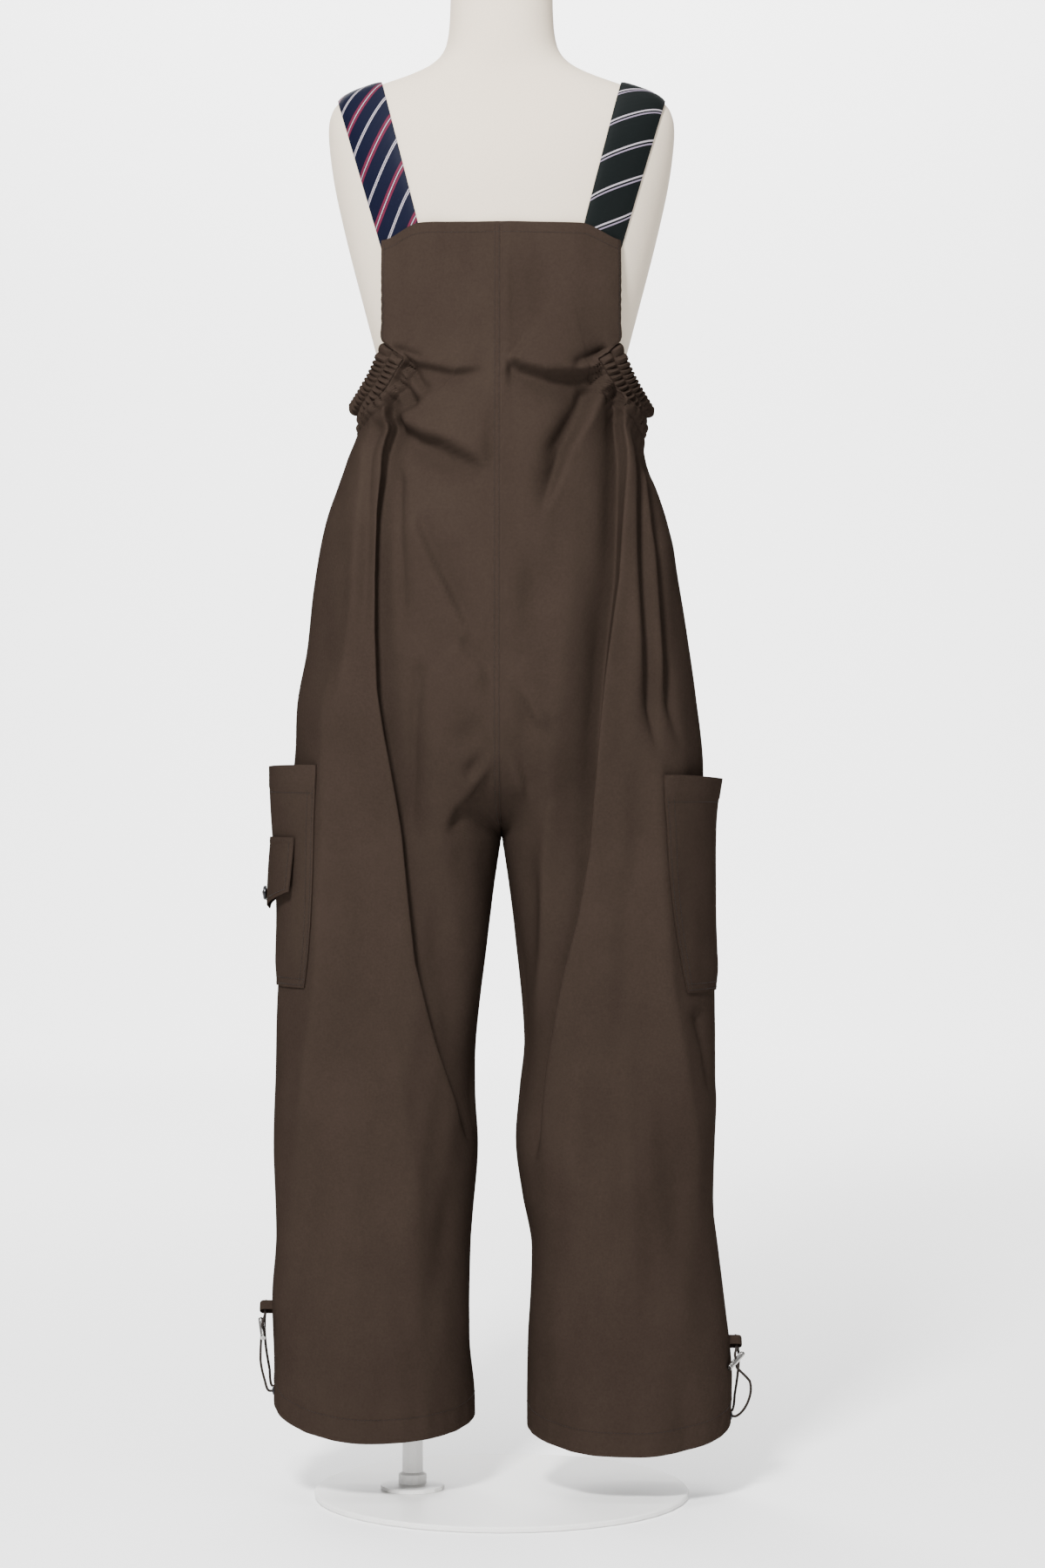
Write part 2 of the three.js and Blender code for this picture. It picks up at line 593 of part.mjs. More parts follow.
// The torso is a loft of rings from its flat bottom to the top of the neck.
function torso() {
  const around = 24;
  const levels = formSections.map((section) => section.z);
  const points = levels.flatMap((z) =>
    steps(around).slice(0, around).map((u) => {
      const angle = 2 * Math.PI * u;
      const face = Math.sin(angle) < 0 ? BACK : FRONT;
      return [
        formHalf(z) * power(Math.cos(angle), 2 / FORM_ROUND),
        formDepth[face](z) * power(Math.sin(angle), 2 / FORM_ROUND),
        z,
      ];
    }),
  );
  const top = points.length;
  points.push([0, 0, FORM_TOP_Z], [0, 0, FORM_BOTTOM_Z]);
  const faces = [];
  levels.slice(1).forEach((_, i) => {
    for (let j = 0; j < around; j += 1) {
      const next = (j + 1) % around;
      const [a, b] = [i * around + j, i * around + next];
      const [c, d] = [(i + 1) * around + next, (i + 1) * around + j];
      faces.push(a, b, c, a, c, d);
    }
  });
  const lastRing = (levels.length - 1) * around;
  for (let j = 0; j < around; j += 1) {
    const next = (j + 1) % around;
    faces.push(lastRing + j, lastRing + next, top);
    faces.push(next, j, top + 1);
  }
  const geometry = new THREE.BufferGeometry();
  geometry.setAttribute("position", new THREE.Float32BufferAttribute(points.flat(), 3));
  geometry.setIndex(faces);
  return geometry;
}

// A shoulder strap, cut from a necktie, from the back bib's corner over the shoulder to the front's
const STRAP_TOP_INNER = 127;
const STRAP_TOP_OUTER = 173;
const STRAP_CLEAR = 0.9;
const strapEnd = { [BACK]: BIB_HALF - STRAP_WIDTH + 3, [FRONT]: BIB_HALF - STRAP_WIDTH + 3 };

function strap(side) {
  const columns = 3;
  const half = 15;
  const stations = [
    ...steps(half).map((u) => ({ face: BACK, u })),
    ...steps(half).slice(1).map((u) => ({ face: FRONT, u: 1 - u })),
  ];
  const gridAt = (offset) =>
    stations.map(({ face, u }) =>
      steps(columns).map((across) => {
        const foot = mix(strapEnd[face], BIB_HALF - 0.5, across);
        const crest = mix(STRAP_TOP_INNER, STRAP_TOP_OUTER, across);
        const bottom = liftedZ(side, face, 1, topOf(face), foot) + SEAM_GAP;
        const rise = Math.sin((u * Math.PI) / 2);
        const x = mix(foot, crest, rise);
        const peak = shoulderZ(crest);
        const z = mix(bottom, peak, rise);
        const y = u === 1 ? 0 : formY(face, x, Math.min(z, shoulderZ(x)));
        const point = new THREE.Vector3(side * x, face * y, z);
        const normal = u === 1
          ? new THREE.Vector3(side * 0.35, 0, 1).normalize()
          : formNormal(side, face, x, z);
        return point.addScaledVector(normal, STRAP_CLEAR * (1 + u) + offset);
      }),
    );
  return wall(gridAt(TIE_THICK), gridAt(0), side < 0);
}

// Cargo pockets, sewn over the side seam and standing off it toward their open tops
const pocketShape = {
  [LEFT]: { low: 2.5, mouth: 26, flare: 1.6 },
  [RIGHT]: { low: 2, mouth: 18, flare: 2.6 },
};
const POCKET_SEWN = 0.4;

// The panels' points under a pocket, each row from its back edge round the side to its front edge.
function pocketGround(side) {
  const { top, bottom } = pocketSpan[side];
  const rowsOf = (face) => panelGrids[side][face].filter((row) => row[0].z >= bottom && row[0].z <= top);
  const front = rowsOf(FRONT);
  return rowsOf(BACK).map((row, i) => [
    ...row.slice(FOLD_COLUMNS, -1),
    { ...row.at(-1), point: row.at(-1).point.clone().setY(0), normal: new THREE.Vector3(side, 0, 0) },
    ...front[i].slice(FOLD_COLUMNS, -1).reverse(),
  ]);
}

// The pocket's points, moved out from the panels by a wall share of the cloth's thickness.
function pocketPoints(side, wallShare) {
  const { top, bottom } = pocketSpan[side];
  const { low, mouth, flare } = pocketShape[side];
  return pocketGround(side).map((row) =>
    row.map((spot, j) => {
      const height = (spot.z - bottom) / (top - bottom);
      const full = mix(low, mouth, height ** flare) * ease(height / 0.12);
      const round = Math.sin((Math.PI * j) / (row.length - 1)) ** 0.8;
      return moved(spot, POCKET_SEWN + full * round + wallShare * CLOTH);
    }),
  );
}

const pocket = (side) => wall(pocketPoints(side, 1), pocketPoints(side, 0), side < 0);

// The pocket flap on the left pocket, pointed at the middle of its lower edge
const flapSize = { top: 701, side: 56, point: 76, from: 1.3, to: 8.7, lean: 7, clear: 0.9 };

// Point of the flap, off the pocket's outside; column of the pocket's grid and share w down the flap.
function flapPoint(column, w, off) {
  const grid = pocketPoints(LEFT, 1);
  const { top, side, point, from, to, lean, clear } = flapSize;
  const corner = 1 - Math.abs((2 * (column - from)) / (to - from) - 1);
  const z = top - mix(side, point, corner) * w;
  const near = Math.floor(column);
  const next = near + 1;
  const line = grid.map((row) => row[near].clone().lerp(row[next], column - near));
  const i = line.findIndex((spot, k) => k + 1 < line.length && line[k + 1].z > z);
  const seat = line[i].clone().lerp(line[i + 1], (z - line[i].z) / (line[i + 1].z - line[i].z));
  const along = grid[i][next].clone().sub(grid[i][Math.max(near - 1, 0)]);
  const up = line[i + 1].clone().sub(line[i]);
  const normal = up.cross(along).normalize();
  return seat.addScaledVector(normal, clear + lean * w + off);
}

function flap() {
  const { from, to } = flapSize;
  const columns = [from, 2, 3, 4, 5, 6, 7, 8, to];
  const gridAt = (off) => steps(4).map((w) => columns.map((column) => flapPoint(column, w, off)));
  return wall(gridAt(CLOTH), gridAt(0), false);
}

// Turned metal pieces. Each profile is [radius, height] round the local Z axis, closed on itself.
function turned(profile, segments, position, outward) {
  const points = profile.map(([radius, height]) => new THREE.Vector2(radius, height));
  const geometry = new THREE.LatheGeometry(points, segments);
  geometry.rotateX(Math.PI / 2);
  const turn = new THREE.Quaternion().setFromUnitVectors(new THREE.Vector3(0, 0, 1), outward);
  geometry.applyQuaternion(turn);
  geometry.translate(position.x, position.y, position.z);
  return geometry;
}

function snap() {
  const seat = flapPoint((flapSize.from + flapSize.to) / 2, 0.78, CLOTH + SEAM_GAP);
  const profile = [[0, 0], [3.6, 0], [3.6, 2.2], [7.8, 2.8], [7.8, 5.2], [6.4, 6.2], [3.4, 5.4], [0, 5.4]];
  return turned(profile, 16, seat, new THREE.Vector3(-1, 0, 0));
}

const EYELET_COLUMN = FOLD_COLUMNS + SIDE_COLUMNS - 1;
const EYELET_ROW = 1;
const EYELET_RISE = { [LEFT]: 0.2, [RIGHT]: 0.12 };

// Where an eyelet sits: on the line of panel points next to the side seam, just above the hem.
function eyeletSeat(side, face) {
  const grid = panelGrids[side][face];
  const low = grid[0][EYELET_COLUMN];
  const high = grid[EYELET_ROW][EYELET_COLUMN];
  const normal = low.normal.clone().add(high.normal).normalize();
  const point = low.point.clone().lerp(high.point, EYELET_RISE[side]).addScaledVector(normal, 0.5);
  return { point, normal };
}

function eyelet(side, face) {
  const { point, normal } = eyeletSeat(side, face);
  const profile = [[2.3, 0], [4.6, 0], [3.8, 1.2], [2.3, 1.2], [2.3, 0]];
  return turned(profile, 12, point, normal);
}

// The loop of tape at the side seam that holds the cord, tilted so that its face shows from behind
const TAB_CLEAR = 0.9;
const TAB_TILT = (50 * Math.PI) / 180;
const tabSize = { width: 11, deep: 12.5, high: 10, tape: 1.5 };
const trims = {
  [LEFT]: { tabZ: 200, barHigh: [257, -3, 187.5], barLow: [252.5, -27, 170.5] },
  [RIGHT]: { tabZ: 163, barHigh: [257, -6, 151], barLow: [241, -34, 140] },
};

function tabSeat(side) {
  const seam = panelGrids[side][BACK].map((row) => row.at(-1).point);
  const z = trims[side].tabZ;
  const i = seam.findIndex((point) => point.z > z);
  const seat = seam[i - 1].clone().lerp(seam[i], (z - seam[i - 1].z) / (seam[i].z - seam[i - 1].z));
  return seat.add(new THREE.Vector3(side * TAB_CLEAR, 0, 0)).setY(0);
}

function tab(side) {
  const { width, deep, high, tape } = tabSize;
  const loop = (shape, inset) => {
    const half = high / 2 - inset;
    const centre = deep - high / 2;
    shape.moveTo(inset, -half);
    shape.lineTo(centre, -half);
    shape.absarc(centre, 0, half, -Math.PI / 2, Math.PI / 2, false);
    shape.lineTo(inset, half);
    shape.closePath();
    return shape;
  };
  const shape = loop(new THREE.Shape(), 0);
  shape.holes.push(loop(new THREE.Path(), tape));
  const geometry = new THREE.ExtrudeGeometry(shape, { depth: width, bevelEnabled: false, curveSegments: 8 });
  geometry.translate(0, 0, -width / 2);
  geometry.rotateX(Math.PI / 2);
  if (side < 0) geometry.rotateZ(Math.PI);
  geometry.rotateX(TAB_TILT);
  const seat = tabSeat(side);
  geometry.translate(seat.x, seat.y, seat.z);
  return geometry;
}

// The bar toggle, cross-drilled for the cord
const BAR_RADIUS = 3;
const BORE_RADIUS = 1.6;

function barFrame(side) {
  const { barHigh, barLow } = trims[side];
  const high = new THREE.Vector3(side * barHigh[0], barHigh[1], barHigh[2]);
  const low = new THREE.Vector3(side * barLow[0], barLow[1], barLow[2]);
  const axis = high.clone().sub(low);
  const length = axis.length();
  axis.normalize();
  const bore = new THREE.Vector3(0, 0, 1).addScaledVector(axis, -axis.z).normalize();
  return { centre: high.add(low).multiplyScalar(0.5), axis, length, bore };
}

function bar(side) {
  const { centre, axis, length, bore } = barFrame(side);
  const upright = new THREE.Vector3(0, 1, 0);
  const body = new THREE.CylinderGeometry(BAR_RADIUS, BAR_RADIUS, length, 20);
  body.applyQuaternion(new THREE.Quaternion().setFromUnitVectors(upright, axis));
  const drill = new THREE.CylinderGeometry(BORE_RADIUS, BORE_RADIUS, 4 * BAR_RADIUS, 12);
  drill.applyQuaternion(new THREE.Quaternion().setFromUnitVectors(upright, bore));
  const geometry = geometryFrom(solidFrom(body).subtract(solidFrom(drill)));
  geometry.translate(centre.x, centre.y, centre.z);
  return geometry;
}

// The elastic cord: out of the back eyelet, up through the bar and the tab, down to the front eyelet.
// Each row of a route is distance out from the middle, y and height.
const CORD_RADIUS = 1.4;
const CORD_SIDES = 8;
const CORD_STEPS = 38;
const cordRoutes = {
  [LEFT]: {
    rising: [[251, -22, 124], [256, -19, 145]],
    falling: [[254, 14, 184], [253, 14, 157], [249, 18, 130]],
  },
  [RIGHT]: {
    rising: [[257, -22, 94], [264, -18, 108], [264, -14, 123]],
    falling: [[254, 14, 148], [253, 15, 126], [250, 19, 103]],
  },
};

function cord(side) {
  const place = ([out, y, z]) => new THREE.Vector3(side * out, y, z);
  const off = ({ point, normal }, distance) => point.clone().addScaledVector(normal, distance);
  const [start, end] = [eyeletSeat(side, BACK), eyeletSeat(side, FRONT)];
  const { centre, bore } = barFrame(side);
  const seat = tabSeat(side);
  const resting = tabSize.tape + CORD_RADIUS + 0.6 - tabSize.high / 2;
  const through = tabSize.width / 2 + 1.5;
  const overEdge = new THREE.Vector3(seat.x + (side * tabSize.deep) / 2, 13, seat.z + 3.5);
  const overTab = (distance) =>
    new THREE.Vector3(0, distance, resting)
      .applyAxisAngle(new THREE.Vector3(1, 0, 0), TAB_TILT)
      .add(new THREE.Vector3(seat.x + (side * tabSize.deep) / 2, 0, seat.z));
  const { rising, falling } = cordRoutes[side];
  const curve = new THREE.CatmullRomCurve3(
    [
      off(start, 0),
      off(start, 5),
      ...rising.map(place),
      ...[-8, -3.5, 3.5, 7].map((distance) => centre.clone().addScaledVector(bore, distance)),
      overTab(-through),
      overTab(through),
      overEdge,
      ...falling.map(place),
      off(end, 5),
      off(end, 0),
    ],
    false,
    "centripetal",
  );
  const section = new THREE.Shape(
    steps(CORD_SIDES).slice(1).map((u) => {
      const angle = 2 * Math.PI * u;
      return new THREE.Vector2(CORD_RADIUS * Math.cos(angle), CORD_RADIUS * Math.sin(angle));
    }),
  );
  return new THREE.ExtrudeGeometry(section, {
    steps: CORD_STEPS,
    bevelEnabled: false,
    extrudePath: curve,
  });
}

function solidFrom(geometry) {
  const bare = geometry.index ? geometry.toNonIndexed() : geometry.clone();
  const points = new THREE.BufferGeometry().setAttribute("position", bare.getAttribute("position"));
  const merged = mergeVertices(points, 1e-4);
  return new wasm.Manifold(
    new wasm.Mesh({
      numProp: 3,
      vertProperties: merged.attributes.position.array,
      triVerts: new Uint32Array(merged.index.array),
    }),
  );
}

function geometryFrom(solid) {
  const mesh = solid.getMesh();
  const geometry = new THREE.BufferGeometry();
  geometry.setAttribute("position", new THREE.BufferAttribute(mesh.vertProperties, 3));
  geometry.setIndex(new THREE.BufferAttribute(mesh.triVerts, 1));
  return geometry;
}

// The stand: a round plate, and a pole with a flange at each end up the left leg to the form
const PLATE_RADIUS = 200;
const PLATE_THICK = 6;
const POLE_X = -95;
const POLE_RADIUS = 11;
const FLANGE_RADIUS = 34;

function plate() {
  const rim = 1.5;
  return turned(
    [
      [0, 0],
      [PLATE_RADIUS - rim, 0],
      [PLATE_RADIUS, rim],
      [PLATE_RADIUS, PLATE_THICK - rim],
      [PLATE_RADIUS - rim, PLATE_THICK],
      [0, PLATE_THICK],
    ],
    40,
    new THREE.Vector3(),
    new THREE.Vector3(0, 0, 1),
  );
}

function pole() {
  const foot = PLATE_THICK + SEAM_GAP;
  const length = FORM_BOTTOM_Z - SEAM_GAP - foot;
  const flange = 4;
  const hub = 16;
  return turned(
    [
      [0, 0],
      [FLANGE_RADIUS, 0],
      [FLANGE_RADIUS, flange],
      [POLE_RADIUS + 4, flange + 2],
      [POLE_RADIUS + 4, hub],
      [POLE_RADIUS, hub + 2],
      [POLE_RADIUS, length - hub - 2],
      [POLE_RADIUS + 4, length - hub],
      [POLE_RADIUS + 4, length - flange - 2],
      [FLANGE_RADIUS, length - flange],
      [FLANGE_RADIUS, length],
      [0, length],
    ],
    16,
    new THREE.Vector3(POLE_X, 0, foot),
    new THREE.Vector3(0, 0, 1),
  );
}

const group = new THREE.Group();

function add(name, geometry, look) {
  const mesh = new THREE.Mesh(geometry, new THREE.MeshStandardMaterial(look));
  mesh.name = name;
  group.add(mesh);
}

add("form_torso", torso(), COLOURS.form);
add("stand_plate", plate(), COLOURS.stand);
add("stand_pole", pole(), COLOURS.stand);
for (const side of [LEFT, RIGHT]) {
  const name = sideName[side];
  add(`back_${name}`, panel(side, BACK), COLOURS.cloth);
  add(`front_${name}`, panel(side, FRONT), COLOURS.cloth);
  add(`elastic_band_${name}`, band(side), COLOURS.cloth);
  add(`strap_${name}`, strap(side), side === LEFT ? COLOURS.navyTie : COLOURS.greenTie);
  add(`cargo_pocket_${name}`, pocket(side), COLOURS.cloth);
  add(`eyelet_back_${name}`, eyelet(side, BACK), COLOURS.steel);
  add(`eyelet_front_${name}`, eyelet(side, FRONT), COLOURS.steel);
  add(`cord_tab_${name}`, tab(side), COLOURS.cloth);
  add(`bar_toggle_${name}`, bar(side), COLOURS.steel);
  add(`hem_cord_${name}`, cord(side), COLOURS.cloth);
}
add("pocket_flap", flap(), COLOURS.cloth);
add("flap_snap", snap(), COLOURS.darkMetal);

export default group;
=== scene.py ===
# Wide-leg dungarees on a limbless dress form: the visible pieces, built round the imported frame.
# Shapes are worked out in millimetres and made in metres. -Y is the garment's back, +Z up.
import math

import bmesh
import bpy
import numpy as np
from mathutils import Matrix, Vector


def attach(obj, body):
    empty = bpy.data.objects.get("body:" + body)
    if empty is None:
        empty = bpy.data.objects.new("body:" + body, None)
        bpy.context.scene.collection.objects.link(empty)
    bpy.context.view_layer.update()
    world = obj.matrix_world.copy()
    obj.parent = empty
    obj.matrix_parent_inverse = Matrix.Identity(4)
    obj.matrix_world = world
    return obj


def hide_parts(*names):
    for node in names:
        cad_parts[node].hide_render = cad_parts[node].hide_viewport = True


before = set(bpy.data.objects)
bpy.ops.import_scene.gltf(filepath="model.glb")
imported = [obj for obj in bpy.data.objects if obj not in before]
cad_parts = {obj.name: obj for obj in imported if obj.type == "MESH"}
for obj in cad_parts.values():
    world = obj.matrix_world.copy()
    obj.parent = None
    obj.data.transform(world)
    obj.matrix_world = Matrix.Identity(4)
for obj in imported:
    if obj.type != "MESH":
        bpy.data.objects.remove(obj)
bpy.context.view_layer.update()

MM = 0.001
LEFT, RIGHT = -1, 1
BACK, FRONT = -1, 1
SIDE_NAME = {LEFT: "left", RIGHT: "right"}
FACE_NAME = {BACK: "back", FRONT: "front"}

# Driving dimensions, as the solids have them
CLOTH = 1.5
SEAM_GAP = 0.3
SEAM_TIGHT = 0.02
CROTCH_Z = 702
SEAT_Z = 830
SIDE_TURN_Z = 585
SIDE_TOP_Z = 1137
BAND_END_Z = 1203
BIB_EDGE_Z = 1221
BIB_TOP_Z = 1343
FRONT_TOP_Z = 1331
BIB_HALF = 125
STRAP_WIDTH = 44
TIE_THICK = 2.2
BIB_TOP = {BACK: BIB_TOP_Z, FRONT: FRONT_TOP_Z}
HEM_LIFT = {LEFT: (70, 16, 36), RIGHT: (56, 20, 27)}
POCKET_SPAN = {LEFT: (545, 777), RIGHT: (540, 768)}
POCKET_SHAPE = {LEFT: (2.5, 26, 1.6), RIGHT: (2, 18, 2.6)}


def table(names, rows):
    """Rows of numbers as one array for each named column."""
    return {name: np.array([row[i] for row in rows], float) for i, name in enumerate(names.split())}


def along(rows, key):
    """Smooth value of one column of a table against its z."""
    at, value = rows["z"], rows[key]
    last = len(at) - 1
    low = np.maximum(np.arange(last + 1) - 1, 0)
    high = np.minimum(np.arange(last + 1) + 1, last)
    slope = (value[high] - value[low]) / (at[high] - at[low])

    def value_at(z):
        z = np.clip(z, at[0], at[-1])
        i = np.clip(np.searchsorted(at, z, side="right") - 1, 0, last - 1)
        step = at[i + 1] - at[i]
        u = (z - at[i]) / step
        bend = u * u * (3 - 2 * u)
        start = u * (1 - u) ** 2 * step
        end = u * u * (u - 1) * step
        return value[i] * (1 - bend) + value[i + 1] * bend + slope[i] * start + slope[i + 1] * end

    return value_at


def ease(u):
    u = np.clip(u, 0, 1)
    return u * u * (3 - 2 * u)


def mix(a, b, u):
    return a + (b - a) * u


def power(value, exponent):
    return np.sign(value) * np.abs(value) ** exponent


def unit(vectors):
    return vectors / np.maximum(np.linalg.norm(vectors, axis=-1, keepdims=True), 1e-9)


# The form: half width, and depth behind and before its middle, at each height
FORM = table(
    "z half back front",
    [
        (772, 148, 92, 84),
        (800, 158, 103, 90),
        (860, 165, 109, 94),
        (930, 161, 105, 93),
        (1010, 143, 92, 87),
        (1080, 126, 81, 82),
        (1140, 119, 77, 81),
        (1190, 127, 80, 87),
        (1228, 137, 85, 95),
        (1270, 148, 90, 103),
        (1316, 160, 95, 106),
        (1353, 169, 98, 103),
        (1395, 178, 98, 94),
        (1430, 183, 92, 84),
        (1455, 184.5, 83, 75),
        (1470, 182, 74, 68),
        (1482, 175, 66, 62),
        (1492, 159, 60, 57),
        (1502, 130, 56, 53),
        (1512, 101, 53, 50),
        (1522, 79, 52, 49),
        (1534, 65, 52, 49),
        (1550, 58, 52, 49),
        (1580, 55, 52, 50),
        (1628, 54.5, 52, 50),
    ],
)
FORM_ROUND = 2.2
form_half = along(FORM, "half")
form_depth = {BACK: along(FORM, "back"), FRONT: along(FORM, "front")}

# Outer and inner edge of each leg and the body's side, as distances from the middle
OUTER_EDGE = table(
    "z left right",
    [
        (60, 243, 244),
        (110, 243, 246),
        (200, 245, 238),
        (265, 241, 231),
        (321, 239, 224),
        (377, 239, 222),
        (433, 238, 226),
        (516, 236, 226),
        (628, 230, 222),
        (739, 222, 215),
        (795, 215, 212),
        (851, 213, 206),
        (907, 206, 198),
        (963, 200, 190),
        (1018, 190, 179),
        (1074, 171, 163),
        (1102, 159, 154),
        (SIDE_TOP_Z, 147, 148),
        (1180, 150, 150),
        (BIB_EDGE_Z, 157, 157),
        (BIB_TOP_Z, 164, 164),
    ],
)
INNER_EDGE = table(
    "z left right",
    [
        (60, 28, 27),
        (100, 29, 27),
        (154, 34, 28),
        (265, 33, 32),
        (321, 29, 22),
        (377, 26, 15),
        (433, 28, 19),
        (488, 27, 24),
        (600, 14, 14),
        (656, 7, 7),
        (CROTCH_Z, 0, 0),
    ],
)
DEPTHS = table(
    "z leg_back leg_front back front flat",
    [
        (60, 92, 88, 120, 112, 1.02),
        (300, 94, 90, 120, 112, 0.95),
        (500, 98, 94, 120, 112, 0.88),
        (CROTCH_Z, 108, 103, 120, 112, 0.85),
        (770, 114, 106, 128, 117, 0.85),
        (SEAT_Z, 116, 108, 133, 120, 0.85),
        (900, 116, 108, 135, 121, 0.85),
        (1000, 116, 108, 130, 120, 0.85),
        (1100, 116, 108, 122, 118, 0.85),
        (BAND_END_Z, 116, 108, 113, 115, 0.85),
        (1280, 116, 108, 106, 112, 0.85),
        (BIB_TOP_Z, 116, 108, 101.5, 109.5, 0.85),
    ],
)
# How far round the body a panel reaches, in degrees from its middle
ARMHOLE = table(
    "z turn",
    [
        (SIDE_TOP_Z, 90),
        (1149, 73),
        (1161, 59),
        (1175, 49.5),
        (1190, 42.5),
        (BAND_END_Z, 38),
        (BIB_EDGE_Z, 49.8),
        (1240, 49.4),
        (1300, 48),
        (BIB_TOP_Z, 47),
    ],
)
ARMHOLE_LEVELS = [BAND_END_Z, 1190, 1175, 1161, 1149, SIDE_TOP_Z]
POCKET_EDGES = table(
    "z left right",
    [
        (540, 0.73, 0.72),
        (CROTCH_Z, 0.69, 0.63),
        (770, 0.645, 0.565),
        (SEAT_Z, 0.62, 0.56),
        (1100, 0.6, 0.58),
        (BIB_TOP_Z, 0.6, 0.6),
    ],
)
outer_edge = {side: along(OUTER_EDGE, SIDE_NAME[side]) for side in (LEFT, RIGHT)}
inner_edge = {side: along(INNER_EDGE, SIDE_NAME[side]) for side in (LEFT, RIGHT)}
body_depth = {face: along(DEPTHS, FACE_NAME[face]) for face in (BACK, FRONT)}
leg_depth = {face: along(DEPTHS, "leg_" + FACE_NAME[face]) for face in (BACK, FRONT)}
flatness = along(DEPTHS, "flat")
armhole_turn = along(ARMHOLE, "turn")
pocket_edge = {side: along(POCKET_EDGES, SIDE_NAME[side]) for side in (LEFT, RIGHT)}

